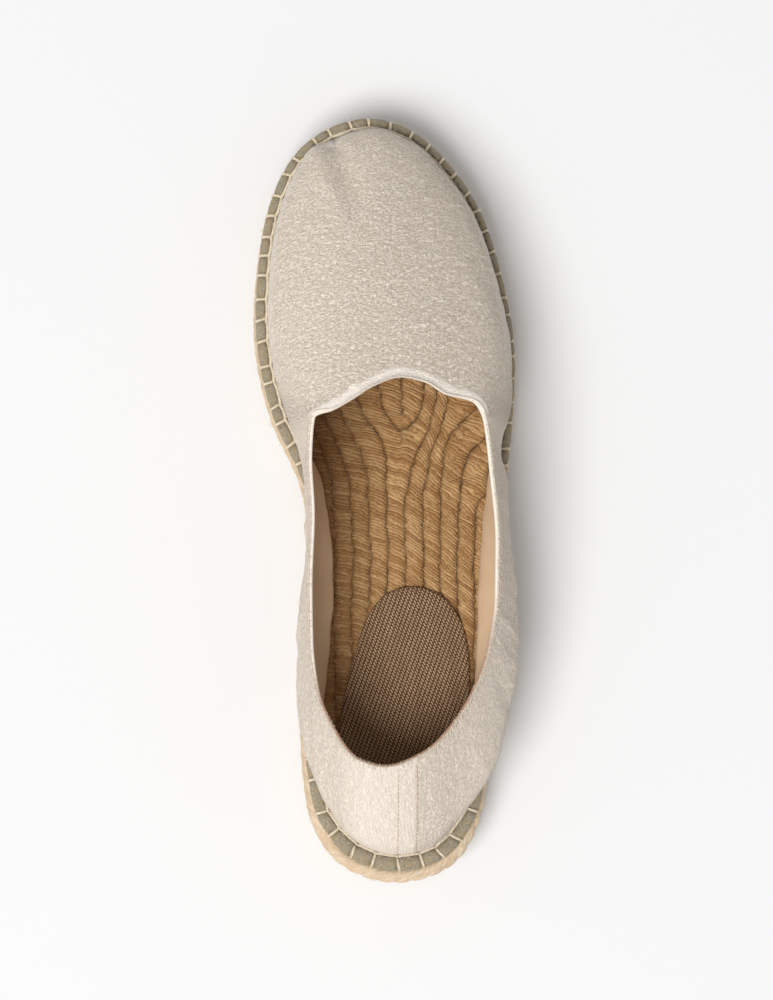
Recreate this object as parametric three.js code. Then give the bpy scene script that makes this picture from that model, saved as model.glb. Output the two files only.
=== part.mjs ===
// Flat espadrille for the right foot, empty and standing on its sole.
//
// Millimetres, +Z up, toe towards +Y, outer side of the foot towards +X. The origin is under the
// middle of the shoe, on the floor.
//
//   sole        rope sole: heel and ball flat on the floor, low arch, toe spring
//   edge_band   soft cloth band round the top edge of the sole, where the blanket stitches run
//   upper       one hollow cloth shell, open at the collar and along the foot
//   heel_sock   thin woven pad on the footbed, under the heel

import * as THREE from 'three';

// ---------------------------------------------------------------- driving dimensions

const soleLength = 285;
const ballWidth = 98.6;
const wall = 1.6; // cloth and lining together
const gap = 0.3; // clearance between two pieces that touch
const sockThickness = 1.2;
const skirtHeight = 5; // the upright foot of the upper, behind the edge band

const topEdgeDepth = 8; // how far down the side the rounded top edge of the sole reaches
const bottomEdgeDepth = 4.5;
const bottomEdgeInset = 4;

const stepsRound = 96; // points round the shoe
const sockStepsRound = 48;

// The sole seen from above. `at` is the share of the length from the heel; `inner` and `outer`
// are the two edges as shares of the ball width from the line that the shoe is drawn on.
const soleOutline = [
  { at: 0.0, inner: 0.048, outer: 0.048 },
  { at: 0.009, inner: -0.079, outer: 0.192 },
  { at: 0.033, inner: -0.191, outer: 0.297 },
  { at: 0.079, inner: -0.271, outer: 0.371 },
  { at: 0.134, inner: -0.302, outer: 0.403 },
  { at: 0.208, inner: -0.313, outer: 0.418 },
  { at: 0.318, inner: -0.284, outer: 0.436 },
  { at: 0.428, inner: -0.274, outer: 0.449 },
  { at: 0.519, inner: -0.316, outer: 0.479 },
  { at: 0.611, inner: -0.432, outer: 0.507 },
  { at: 0.711, inner: -0.49, outer: 0.51 },
  { at: 0.82, inner: -0.474, outer: 0.441 },
  { at: 0.884, inner: -0.436, outer: 0.371 },
  { at: 0.933, inner: -0.376, outer: 0.276 },
  { at: 0.965, inner: -0.302, outer: 0.188 },
  { at: 0.989, inner: -0.194, outer: 0.083 },
  { at: 1.0, inner: -0.052, outer: -0.052 },
];

// The sole from the side, in millimetres above the floor.
const soleHeights = [
  { at: 0.0, under: 1.6, over: 22.4 },
  { at: 0.05, under: 0, over: 22.2 },
  { at: 0.27, under: 0, over: 21 },
  { at: 0.44, under: 1.7, over: 19.2 },
  { at: 0.6, under: 0, over: 17.4 },
  { at: 0.76, under: 0, over: 17 },
  { at: 0.89, under: 2.2, over: 17.6 },
  { at: 1.0, under: 6.4, over: 20 },
];

// What lies outside the upper on top of the sole: bare rope at the rim, then the edge band.
const soleRim = [
  { at: 0.0, rope: 5.4, band: 6.2 },
  { at: 0.04, rope: 4.8, band: 5.9 },
  { at: 0.1, rope: 2.8, band: 5 },
  { at: 0.2, rope: 1.7, band: 4.6 },
  { at: 0.7, rope: 1.3, band: 4.5 },
  { at: 0.88, rope: 0.7, band: 3.8 },
  { at: 1.0, rope: 0.5, band: 4 },
];

// The edge band in section: `out` is a share of its width from the upper, `up` is above the sole.
const bandSection = [
  { out: 0, up: 0 },
  { out: 0.62, up: 0 },
  { out: 1, up: 0.7 },
  { out: 1.03, up: 1.9 },
  { out: 0.86, up: 3.1 },
  { out: 0.55, up: 3.9 },
  { out: 0.2, up: 4.2 },
  { out: 0, up: 3.9 },
];

// Sections through the upper, from the middle of the heel round the outer side to the toe and back.
// `round` is where the section stands on the outline of the sole. `x`, `at` and `z` are its place on
// the topline: a share of the ball width, a share of the length, and a height in millimetres.
// `belly` is how far the cloth bows out, and `dome` is 1 where it arches over the foot, 0 where it
// is a side wall.
const upperSections = [
  { round: 0.0, x: -0.011, at: 0.163, z: 63, belly: 3.5, dome: 0.3 },
  { round: 0.03, x: 0.131, at: 0.181, z: 63, belly: 4.5, dome: 0.25 },
  { round: 0.059, x: 0.233, at: 0.216, z: 62, belly: 6.5, dome: 0.2 },
  { round: 0.089, x: 0.311, at: 0.26, z: 60.5, belly: 9.6, dome: 0.1 },
  { round: 0.12, x: 0.363, at: 0.311, z: 59, belly: 10.8, dome: 0.1 },
  { round: 0.156, x: 0.392, at: 0.373, z: 58, belly: 10.8, dome: 0.1 },
  { round: 0.197, x: 0.395, at: 0.443, z: 58.5, belly: 9, dome: 0.1 },
  { round: 0.248, x: 0.372, at: 0.531, z: 61, belly: 5, dome: 0.2 },
  { round: 0.29, x: 0.34, at: 0.602, z: 65, belly: 5, dome: 0.5 },
  { round: 0.327, x: 0.304, at: 0.619, z: 66, belly: 4.4, dome: 0.85 },
  { round: 0.392, x: 0.204, at: 0.628, z: 68, belly: 2.6, dome: 1 },
  { round: 0.446, x: 0.128, at: 0.643, z: 69, belly: 1, dome: 1 },
  { round: 0.5, x: 0.042, at: 0.649, z: 69, belly: 0.4, dome: 1 },
  { round: 0.557, x: -0.05, at: 0.639, z: 69, belly: 0.5, dome: 1 },
  { round: 0.621, x: -0.14, at: 0.62, z: 68, belly: 0.8, dome: 1 },
  { round: 0.665, x: -0.203, at: 0.608, z: 66.5, belly: 1, dome: 0.85 },
  { round: 0.708, x: -0.268, at: 0.6, z: 64.5, belly: 1.6, dome: 0.5 },
  { round: 0.741, x: -0.28, at: 0.549, z: 61, belly: 3.2, dome: 0.2 },
  { round: 0.784, x: -0.269, at: 0.478, z: 58.5, belly: 6, dome: 0.1 },
  { round: 0.838, x: -0.277, at: 0.39, z: 57.5, belly: 6.8, dome: 0.1 },
  { round: 0.88, x: -0.274, at: 0.32, z: 58.5, belly: 6.6, dome: 0.1 },
  { round: 0.916, x: -0.255, at: 0.261, z: 60, belly: 6.2, dome: 0.1 },
  { round: 0.951, x: -0.194, at: 0.209, z: 62, belly: 5.2, dome: 0.2 },
  { round: 0.979, x: -0.108, at: 0.172, z: 63, belly: 4.4, dome: 0.25 },
];
const archRise = 0.6; // how much of the vamp's height is gained by its round toe, not by its slope
const bellyHeight = 0.38; // where the belly is widest, as a share of the way up
const rowsUp = [0, 0.08, 0.18, 0.29, 0.41, 0.53, 0.65, 0.77, 0.89, 1];

// The heel sock seen from above, in the same shares as the sole.
const sockOutline = [
  { at: 0.056, inner: 0.045, outer: 0.045 },
  { at: 0.064, inner: -0.045, outer: 0.135 },
  { at: 0.09, inner: -0.13, outer: 0.215 },
  { at: 0.14, inner: -0.178, outer: 0.275 },
  { at: 0.22, inner: -0.16, outer: 0.318 },
  { at: 0.3, inner: -0.105, outer: 0.322 },
  { at: 0.348, inner: -0.058, outer: 0.286 },
  { at: 0.378, inner: 0.012, outer: 0.212 },
  { at: 0.388, inner: 0.108, outer: 0.108 },
];

// ---------------------------------------------------------------- reading the tables

// A smooth curve through one column of a table. Between equal rows it stays exactly flat.
function smoothColumn(rows, by, key) {
  const secants = rows.slice(1).map((row, i) => (row[key] - rows[i][key]) / (row[by] - rows[i][by]));
  const slopes = rows.map((row, i) => {
    const before = secants[Math.max(i - 1, 0)];
    const after = secants[Math.min(i, secants.length - 1)];
    if (before * after <= 0) return 0;
    return (2 * before * after) / (before + after);
  });
  return (where) => {
    let i = 0;
    while (i < rows.length - 2 && where > rows[i + 1][by]) i += 1;
    const span = rows[i + 1][by] - rows[i][by];
    const t = THREE.MathUtils.clamp((where - rows[i][by]) / span, 0, 1);
    const rest = 1 - t;
    return rows[i][key] * rest * rest * (1 + 2 * t)
      + rows[i + 1][key] * t * t * (3 - 2 * t)
      + span * t * rest * (rest * slopes[i] - t * slopes[i + 1]);
  };
}

// The same for a table that runs once round the shoe and joins up with itself.
function closedColumn(rows, key) {
  const before = rows.slice(-2).map((row) => ({ ...row, round: row.round - 1 }));
  const after = rows.slice(0, 2).map((row) => ({ ...row, round: row.round + 1 }));
  return smoothColumn([...before, ...rows, ...after], 'round', key);
}

// A closed outline from its table, run from the heel along the outer side to the toe and back.
function outlineCurve(rows) {
  const corner = (row, side) => new THREE.Vector3(row[side] * ballWidth, row.at * soleLength, 0);
  const goingOut = rows.map((row) => corner(row, 'outer'));
  const comingBack = rows.slice(1, -1).reverse().map((row) => corner(row, 'inner'));
  const curve = new THREE.CatmullRomCurve3([...goingOut, ...comingBack], true, 'centripetal');
  curve.arcLengthDivisions = 1200;
  return curve;
}

const outline = outlineCurve(soleOutline);
const underside = smoothColumn(soleHeights, 'at', 'under');
const footbed = smoothColumn(soleHeights, 'at', 'over');
const bareRope = smoothColumn(soleRim, 'at', 'rope');
const bandWidth = smoothColumn(soleRim, 'at', 'band');
const topline = {
  x: closedColumn(upperSections, 'x'),
  at: closedColumn(upperSections, 'at'),
  z: closedColumn(upperSections, 'z'),
};
const bellyAt = closedColumn(upperSections, 'belly');
const domeAt = closedColumn(upperSections, 'dome');

// ---------------------------------------------------------------- geometry helpers

// One station round the shoe: its point on the outline, the way out from it, and its place along.
function station(round) {
  const share = (round + 1) % 1;
  const point = outline.getPointAt(share);
  const tangent = outline.getTangentAt(share);
  return {
    round: share,
    at: point.y / soleLength,
    point,
    out: new THREE.Vector3(tangent.y, -tangent.x, 0),
  };
}

// The point that lies `inset` inside the outline at a station, at height z.
function insetPoint(place, inset, z) {
  const point = place.point.clone().addScaledVector(place.out, -inset);
  point.z = z;
  return point;
}

function ringOf(count, pointAt) {
  return Array.from({ length: count }, (_, i) => pointAt(i / count));
}

// Closed rings joined by strips, outwards when they run anticlockwise and each is above the last.
// A `looped` skin joins the last ring to the first. Otherwise each end is closed straight across.
function skin(rings, looped) {
  const count = rings[0].length;
  const positions = rings.flat().flatMap((point) => point.toArray());
  const faces = [];
  const joints = looped ? rings.length : rings.length - 1;
  for (let level = 0; level < joints; level += 1) {
    const low = level * count;
    const high = ((level + 1) % rings.length) * count;
    for (let i = 0; i < count; i += 1) {
      const next = (i + 1) % count;
      faces.push(low + i, low + next, high + next);
      faces.push(low + i, high + next, high + i);
    }
  }
  if (!looped) {
    const top = (rings.length - 1) * count;
    for (let i = 0; i < count / 2; i += 1) {
      const a = i;
      const b = i + 1;
      const c = count - i - 1;
      const d = (count - i) % count;
      if (b !== c) faces.push(top + a, top + b, top + c, a, c, b);
      if (a !== d) faces.push(top + a, top + c, top + d, a, d, c);
    }
  }
  const geometry = new THREE.BufferGeometry();
  geometry.setAttribute('position', new THREE.Float32BufferAttribute(positions, 3));
  geometry.setIndex(faces);
  geometry.computeVertexNormals();
  return geometry;
}

// ---------------------------------------------------------------- sole

function soleGeometry() {
  const quarter = Math.PI / 2;
  const bottomRings = [0, 0.4, 0.8].map((turn) => ringOf(stepsRound, (round) => {
    const place = station(round);
    const inset = bottomEdgeInset * (1 - Math.sin(turn * quarter));
    const rise = bottomEdgeDepth * (1 - Math.cos(turn * quarter));
    return insetPoint(place, inset, underside(place.at) + rise);
  }));
  const topRings = [0.85, 0.55, 0.28, 0].map((turn) => ringOf(stepsRound, (round) => {
    const place = station(round);
    const inset = (bareRope(place.at) + 1) * (1 - Math.sin(turn * quarter));
    const drop = topEdgeDepth * (1 - Math.cos(turn * quarter));
    return insetPoint(place, inset, footbed(place.at) - drop);
  }));
  return skin([...bottomRings, ...topRings], false);
}

// ---------------------------------------------------------------- upper

// A point on the inner face of the upper. `up` is 0 at the top of the skirt and 1 at the topline.
function innerFace(round, up) {
  const place = station(round);
  const inset = bareRope(place.at) + bandWidth(place.at) + gap + wall;
  const foot = insetPoint(place, inset, footbed(place.at) + gap + skirtHeight);
  const top = new THREE.Vector3(
    topline.x(place.round) * ballWidth,
    topline.at(place.round) * soleLength,
    topline.z(place.round),
  );
  const dome = domeAt(place.round);
  const turn = (up * Math.PI) / 2;
  const across = THREE.MathUtils.lerp(up, 1 - Math.cos(turn), dome);
  const arched = archRise * Math.sin(turn) + (1 - archRise) * (1 - Math.cos(turn));
  const rise = THREE.MathUtils.lerp(up, arched, dome);
  const point = new THREE.Vector3(
    THREE.MathUtils.lerp(foot.x, top.x, across),
    THREE.MathUtils.lerp(foot.y, top.y, across),
    THREE.MathUtils.lerp(foot.z, top.z, rise),
  );
  const warp = Math.log(0.5) / Math.log(bellyHeight);
  const swell = Math.sin(Math.PI * up ** warp) ** 2;
  const slack = Math.sin(Math.PI * up ** warp);
  const bow = bellyAt(place.round) * THREE.MathUtils.lerp(swell, slack, up);
  return point.addScaledVector(place.out, bow);
}

// The same point moved out through the wall, square to the cloth.
function outerFace(round, up) {
  const nudge = 0.004;
  const ahead = innerFace(round + nudge, up);
  const behind = innerFace(round - nudge, up);
  const above = innerFace(round, Math.min(up + nudge, 1));
  const below = innerFace(round, Math.max(up - nudge, 0));
  const along = ahead.sub(behind);
  const climb = above.sub(below);
  const normal = along.cross(climb).normalize();
  return innerFace(round, up).addScaledVector(normal, wall);
}

function upperGeometry() {
  const feather = (thickness) => ringOf(stepsRound, (round) => {
    const place = station(round);
    const inset = bareRope(place.at) + bandWidth(place.at) + gap + wall - thickness;
    return insetPoint(place, inset, footbed(place.at) + gap);
  });
  const outer = rowsUp.map((up) => ringOf(stepsRound, (round) => outerFace(round, up)));
  const inner = rowsUp.map((up) => ringOf(stepsRound, (round) => innerFace(round, up)));
  return skin([feather(wall), ...outer, ...inner.reverse(), feather(0)], true);
}

// ---------------------------------------------------------------- edge band and heel sock

function bandGeometry() {
  const rings = bandSection.map((corner) => ringOf(stepsRound, (round) => {
    const place = station(round);
    const width = bandWidth(place.at);
    const inset = bareRope(place.at) + width - corner.out * width;
    return insetPoint(place, inset, footbed(place.at) + gap + corner.up);
  }));
  return skin(rings, true);
}

function sockGeometry() {
  const curve = outlineCurve(sockOutline);
  const rings = [0, sockThickness].map((lift) => ringOf(sockStepsRound, (round) => {
    const point = curve.getPointAt(round);
    point.z = footbed(point.y / soleLength) + gap + lift;
    return point;
  }));
  return skin(rings, false);
}

// ---------------------------------------------------------------- the shoe

function piece(name, geometry, color, roughness) {
  const material = new THREE.MeshStandardMaterial({ color, roughness, metalness: 0 });
  const mesh = new THREE.Mesh(geometry, material);
  mesh.name = name;
  return mesh;
}

const shoe = new THREE.Group();
shoe.add(piece('sole', soleGeometry(), 0xcdb08a, 0.95));
shoe.add(piece('edge_band', bandGeometry(), 0x8f8d7e, 0.9));
shoe.add(piece('upper', upperGeometry(), 0xe4dbcf, 0.9));
shoe.add(piece('heel_sock', sockGeometry(), 0x8a7458, 0.9));

// The shoe is drawn from the back of the heel; this puts the origin under its middle.
const box = new THREE.Box3().setFromObject(shoe);
const middle = box.getCenter(new THREE.Vector3());
shoe.position.set(-middle.x, -middle.y, -box.min.z);

export default shoe;
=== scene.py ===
# %% [markdown]
# # A flat espadrille for the right foot
#
# An espadrille is a cloth shell sewn straight to a sole of braided jute rope. This lesson builds
# one the way a workshop does: the rope sole first, then the cloth band round its edge, the upper
# with its lining, the stitches that hold everything together, and last the loose fibres that make
# natural rope look natural.
#
# The measured model of the shoe is loaded first. Every piece below is placed from it, so nothing
# has to be fitted by eye afterwards.

# %% Load the measured frame
import math

import bpy
import numpy as np
from mathutils import Matrix, Vector


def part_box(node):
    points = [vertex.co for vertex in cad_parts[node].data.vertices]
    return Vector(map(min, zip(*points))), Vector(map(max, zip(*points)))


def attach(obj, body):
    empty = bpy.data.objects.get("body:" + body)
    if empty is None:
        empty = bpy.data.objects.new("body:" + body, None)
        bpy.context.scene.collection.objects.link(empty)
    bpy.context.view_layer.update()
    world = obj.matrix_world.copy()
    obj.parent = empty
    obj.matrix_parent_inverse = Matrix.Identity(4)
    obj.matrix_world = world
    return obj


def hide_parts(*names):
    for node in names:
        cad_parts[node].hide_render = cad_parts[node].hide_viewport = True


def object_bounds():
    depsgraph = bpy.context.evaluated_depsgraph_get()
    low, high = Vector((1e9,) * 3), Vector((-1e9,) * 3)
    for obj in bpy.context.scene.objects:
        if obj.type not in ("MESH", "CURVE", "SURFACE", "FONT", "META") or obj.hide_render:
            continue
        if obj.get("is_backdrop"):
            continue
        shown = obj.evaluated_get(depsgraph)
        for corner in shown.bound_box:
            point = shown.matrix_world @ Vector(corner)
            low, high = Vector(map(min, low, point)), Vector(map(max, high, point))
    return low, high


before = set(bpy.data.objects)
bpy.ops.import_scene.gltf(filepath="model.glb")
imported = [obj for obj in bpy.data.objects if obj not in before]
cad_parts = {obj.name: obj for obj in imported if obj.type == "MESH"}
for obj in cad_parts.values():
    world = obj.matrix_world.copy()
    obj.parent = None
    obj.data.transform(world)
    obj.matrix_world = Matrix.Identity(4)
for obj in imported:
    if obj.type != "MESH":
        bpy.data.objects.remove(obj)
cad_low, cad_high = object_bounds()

print("frame nodes:", sorted(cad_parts))
print("frame size in mm:", [round((b - a) * 1000, 1) for a, b in zip(cad_low, cad_high)])

# %% [markdown]
# ## The last
#
# A shoe is shaped on a last, a block with the form of the foot. Here the last is five short
# tables: the outline of the sole from above, its heights from the side, what lies on its rim, the
# sections through the upper, and the outline of the heel sock. Places in plan are shares of the
# sole's length and the ball's width, so one pair of numbers sets them. Heights, the widths on the
# rim and the bow of the side walls are in millimetres. A smooth curve is drawn through each column.
#
# It could all be modelled by hand from a mesh, but then the band, the stitches and the lining
# would each have to be matched to it. With the last as functions, each of them simply asks where
# the cloth is.

# %% Sizes of the shoe, in millimetres
MM = 0.001
SOLE_LENGTH = 285.0
BALL_WIDTH = 98.6
WALL = 1.6
GAP = 0.3
SKIRT_HEIGHT = 5.0
ARCH_RISE = 0.6
BELLY_HEIGHT = 0.38
print("sole length over ball width:", round(SOLE_LENGTH / BALL_WIDTH, 2))

# %% The tables of the last


def rows(columns, *values):
    """A short table: a row for each section, read by column name."""
    return [dict(zip(columns.split(), row)) for row in values]


SOLE_OUTLINE = rows(
    "at inner outer",
    (0.0, 0.048, 0.048),
    (0.009, -0.079, 0.192),
    (0.033, -0.191, 0.297),
    (0.079, -0.271, 0.371),
    (0.134, -0.302, 0.403),
    (0.208, -0.313, 0.418),
    (0.318, -0.284, 0.436),
    (0.428, -0.274, 0.449),
    (0.519, -0.316, 0.479),
    (0.611, -0.432, 0.507),
    (0.711, -0.49, 0.51),
    (0.82, -0.474, 0.441),
    (0.884, -0.436, 0.371),
    (0.933, -0.376, 0.276),
    (0.965, -0.302, 0.188),
    (0.989, -0.194, 0.083),
    (1.0, -0.052, -0.052),
)
SOLE_HEIGHTS = rows(
    "at under over",
    (0.0, 1.6, 22.4),
    (0.05, 0, 22.2),
    (0.27, 0, 21),
    (0.44, 1.7, 19.2),
    (0.6, 0, 17.4),
    (0.76, 0, 17),
    (0.89, 2.2, 17.6),
    (1.0, 6.4, 20),
)
SOLE_RIM = rows(
    "at rope band",
    (0.0, 5.4, 6.2),
    (0.04, 4.8, 5.9),
    (0.1, 2.8, 5),
    (0.2, 1.7, 4.6),
    (0.7, 1.3, 4.5),
    (0.88, 0.7, 3.8),
    (1.0, 0.5, 4),
)
UPPER_SECTIONS = rows(
    "round x at z belly dome",
    (0.0, -0.011, 0.163, 63, 3.5, 0.3),
    (0.03, 0.131, 0.181, 63, 4.5, 0.25),
    (0.059, 0.233, 0.216, 62, 6.5, 0.2),
    (0.089, 0.311, 0.26, 60.5, 9.6, 0.1),
    (0.12, 0.363, 0.311, 59, 10.8, 0.1),
    (0.156, 0.392, 0.373, 58, 10.8, 0.1),
    (0.197, 0.395, 0.443, 58.5, 9, 0.1),
    (0.248, 0.372, 0.531, 61, 5, 0.2),
    (0.29, 0.34, 0.602, 65, 5, 0.5),
    (0.327, 0.304, 0.619, 66, 4.4, 0.85),
    (0.392, 0.204, 0.628, 68, 2.6, 1),
    (0.446, 0.128, 0.643, 69, 1, 1),
    (0.5, 0.042, 0.649, 69, 0.4, 1),
    (0.557, -0.05, 0.639, 69, 0.5, 1),
    (0.621, -0.14, 0.62, 68, 0.8, 1),
    (0.665, -0.203, 0.608, 66.5, 1, 0.85),
    (0.708, -0.268, 0.6, 64.5, 1.6, 0.5),
    (0.741, -0.28, 0.549, 61, 3.2, 0.2),
    (0.784, -0.269, 0.478, 58.5, 6, 0.1),
    (0.838, -0.277, 0.39, 57.5, 6.8, 0.1),
    (0.88, -0.274, 0.32, 58.5, 6.6, 0.1),
    (0.916, -0.255, 0.261, 60, 6.2, 0.1),
    (0.951, -0.194, 0.209, 62, 5.2, 0.2),
    (0.979, -0.108, 0.172, 63, 4.4, 0.25),
)
SOCK_OUTLINE = rows(
    "at inner outer",
    (0.056, 0.045, 0.045),
    (0.064, -0.045, 0.135),
    (0.09, -0.13, 0.215),
    (0.14, -0.178, 0.275),
    (0.22, -0.16, 0.318),
    (0.3, -0.105, 0.322),
    (0.348, -0.058, 0.286),
    (0.378, 0.012, 0.212),
    (0.388, 0.108, 0.108),
)
OUTER_CORNER = 0.29
TOE = 0.5
INNER_CORNER = 0.708
print("sections through the upper:", len(UPPER_SECTIONS))

# %% [markdown]
# A smooth curve through a column needs care where two rows are equal: the heel and the ball of
# the sole are flat on the floor, and an ordinary spline would overshoot and make them hollow.
# Slopes worked out as the harmonic mean of their neighbours never overshoot.

# %% Read a column of a table as a smooth curve


def smooth_column(table, by, key):
    x = np.array([row[by] for row in table], float)
    y = np.array([row[key] for row in table], float)
    secant = np.diff(y) / np.diff(x)
    before = np.concatenate([secant[:1], secant])
    after = np.concatenate([secant, secant[-1:]])
    same_way = before * after > 0
    total = np.where(same_way, before + after, 1)
    slope = np.where(same_way, 2 * before * after / total, 0)

    def read(where):
        where = np.asarray(where, float)
        i = np.clip(np.searchsorted(x, where, side="right") - 1, 0, len(x) - 2)
        span = x[i + 1] - x[i]
        t = np.clip((where - x[i]) / span, 0, 1)
        rest = 1 - t
        ends = y[i] * rest**2 * (1 + 2 * t) + y[i + 1] * t**2 * (3 - 2 * t)
        return ends + span * t * rest * (rest * slope[i] - t * slope[i + 1])

    return read


def closed_column(table, key):
    before = [{**row, "round": row["round"] - 1} for row in table[-2:]]
    after = [{**row, "round": row["round"] + 1} for row in table[:2]]
    return smooth_column(before + table + after, "round", key)


underside = smooth_column(SOLE_HEIGHTS, "at", "under")
footbed = smooth_column(SOLE_HEIGHTS, "at", "over")
bare_rope = smooth_column(SOLE_RIM, "at", "rope")
band_width = smooth_column(SOLE_RIM, "at", "band")
topline = {key: closed_column(UPPER_SECTIONS, key) for key in ("x", "at", "z")}
belly = closed_column(UPPER_SECTIONS, "belly")
dome = closed_column(UPPER_SECTIONS, "dome")
print("footbed height under the heel and the ball:", float(footbed(0.1)), float(footbed(0.7)))

# %% [markdown]
# The outline runs once round the sole, from the back of the heel along the outer side to the toe
# and home along the inner side. Everything that goes round the shoe is placed by its share of
# that way round, so `0.5` is always the toe.

# %% Draw the outline as a closed curve


class Loop:
    """A closed curve through points, read by the share of its length."""

    def __init__(self, table, steps=60):
        side = lambda name, part: [(r[name] * BALL_WIDTH, r["at"] * SOLE_LENGTH) for r in part]
        b = np.array(side("outer", table) + side("inner", table[1:-1][::-1]))
        a, c, d = (np.roll(b, shift, axis=0) for shift in (1, -1, -2))
        # A centripetal Catmull-Rom curve from b to c: it meets every point and makes no loops.
        knot = lambda p, q: np.sqrt(np.linalg.norm(q - p, axis=1, keepdims=True))
        come, stay, go = knot(a, b), knot(b, c), knot(c, d)
        leave = ((b - a) / come - (c - a) / (come + stay) + (c - b) / stay) * stay
        arrive = ((c - b) / stay - (d - b) / (stay + go) + (d - c) / go) * stay
        t = np.linspace(0, 1, steps, endpoint=False)[:, None, None]
        bend = 3 * (c - b) - 2 * leave - arrive
        curve = b + leave * t + bend * t**2 + (2 * (b - c) + leave + arrive) * t**3
        curve = curve.transpose(1, 0, 2).reshape(-1, 2)
        self.points = np.vstack([curve, curve[:1]])
        lengths = np.linalg.norm(np.diff(self.points, axis=0), axis=1)
        self.length = float(lengths.sum())
        self.shares = np.concatenate([[0], np.cumsum(lengths)]) / self.length

    def __call__(self, share):
        share = np.asarray(share, float) % 1
        return np.stack([np.interp(share, self.shares, self.points[:, i]) for i in (0, 1)], axis=-1)


outline = Loop(SOLE_OUTLINE)
drawn = outline(np.arange(96) / 96)
sole_low, sole_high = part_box("sole")
middle = (drawn.min(axis=0) + drawn.max(axis=0)) / 2
SHIFT = np.array([
    (sole_low.x + sole_high.x) / 2 / MM - middle[0],
    (sole_low.y + sole_high.y) / 2 / MM - middle[1],
    sole_low.z / MM,
])
print("length round the sole in mm:", round(outline.length, 1))

# %% [markdown]
# Every piece that goes round the shoe asks the same two things: where is the rim, and which way is
# out? The tangent of the outline answers both. So a point is given by its share of the way round,
# how far inside the rim it lies, and its height.

# %% Where a point round the shoe is, and which way is out from it


def station(share):
    """Point on the outline, the level way out from it, and its share of the sole's length."""
    point = outline(share)
    tangent = outline(np.asarray(share) + 0.0006) - outline(np.asarray(share) - 0.0006)
    tangent /= np.linalg.norm(tangent, axis=-1, keepdims=True)
    out = np.stack([tangent[..., 1], -tangent[..., 0]], axis=-1)
    return point, out, point[..., 1] / SOLE_LENGTH


def rim_point(share, inset, height):
    """A point that lies `inset` inside the outline, at a height."""
    point, out, _ = station(share)
    level = point - out * np.asarray(inset)[..., None]
    height = np.broadcast_to(height, level.shape[:-1])
    return np.concatenate([level, height[..., None]], axis=-1)


print("tip of the toe, in mm from the heel:", round(float(outline(TOE)[1]), 1))

# %% [markdown]
# The inner face of the upper is swept from the rim of the sole to the topline. On the vamp it
# arches like a dome, steep at the toe and sloping towards the instep. The side walls are nearly
# straight and bow outwards in the middle, as soft cloth does when no foot holds it up. The lowest
# strip, the skirt, stands upright behind the band.

# %% The inner face of the upper


def sweep(share, up):
    """`up` is -1 at the sole, 0 at the top of the skirt and 1 at the topline."""
    share, up = np.broadcast_arrays(np.asarray(share, float) % 1, np.asarray(up, float))
    _, out, at = station(share)
    inset = bare_rope(at) + band_width(at) + GAP + WALL
    foot = rim_point(share, inset, footbed(at) + GAP + SKIRT_HEIGHT)
    top = np.stack([
        topline["x"](share) * BALL_WIDTH,
        topline["at"](share) * SOLE_LENGTH,
        topline["z"](share),
    ], axis=-1)
    climb = np.clip(up, 0, 1)
    turn = climb * np.pi / 2
    arched = ARCH_RISE * np.sin(turn) + (1 - ARCH_RISE) * (1 - np.cos(turn))
    across = climb + dome(share) * (1 - np.cos(turn) - climb)
    rise = climb + dome(share) * (arched - climb)
    point = foot + (top - foot) * np.stack([across, across, rise], axis=-1)
    point[..., 2] += np.minimum(up, 0) * SKIRT_HEIGHT
    slack = np.sin(np.pi * climb ** (math.log(0.5) / math.log(BELLY_HEIGHT)))
    bow = belly(share) * slack * (slack + (1 - slack) * climb)
    point[..., :2] += out * bow[..., None]
    return point


def cloth_point(share, up, lift):
    """A point `lift` outside the inner face, and the way out of the cloth there."""
    nudge = 0.004
    along = sweep(share + nudge, up) - sweep(share - nudge, up)
    climb = sweep(share, np.minimum(up + nudge, 1)) - sweep(share, np.maximum(up - nudge, -1))
    normal = np.cross(along, climb)
    normal /= np.linalg.norm(normal, axis=-1, keepdims=True)
    return sweep(share, up) + normal * np.asarray(lift)[..., None], normal


throat_top = cloth_point(np.array([TOE]), np.array([1.0]), np.array([WALL]))[0][0]
print("top of the throat, in mm from the heel and the floor:", throat_top[1:].round(1))

# %% [markdown]
# ## Meshes, nodes and finishes
#
# Three helpers carry the rest of the lesson. The first makes a mesh from a grid of points, with
# the cloth's own coordinates as UV maps, in centimetres of cloth, so that a weave keeps its
# real scale. The second wraps a node socket so that shader and geometry maths read as ordinary
# arithmetic. The third makes a material.

# %% Make a mesh from a grid of points
MM_PER_CM = 10


def new_piece(name, mesh, material):
    """Links a mesh as a piece of the shoe that stays with the frame's one body."""
    mesh.polygons.foreach_set("use_smooth", np.ones(len(mesh.polygons), bool))
    mesh.materials.clear()
    mesh.materials.append(material)
    piece = bpy.data.objects.new(name, mesh)
    bpy.context.scene.collection.objects.link(piece)
    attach(piece, "root")
    triangles = sum(len(p.vertices) - 2 for p in mesh.polygons)
    print(f"{name}: {triangles} triangles")
    return piece


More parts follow.
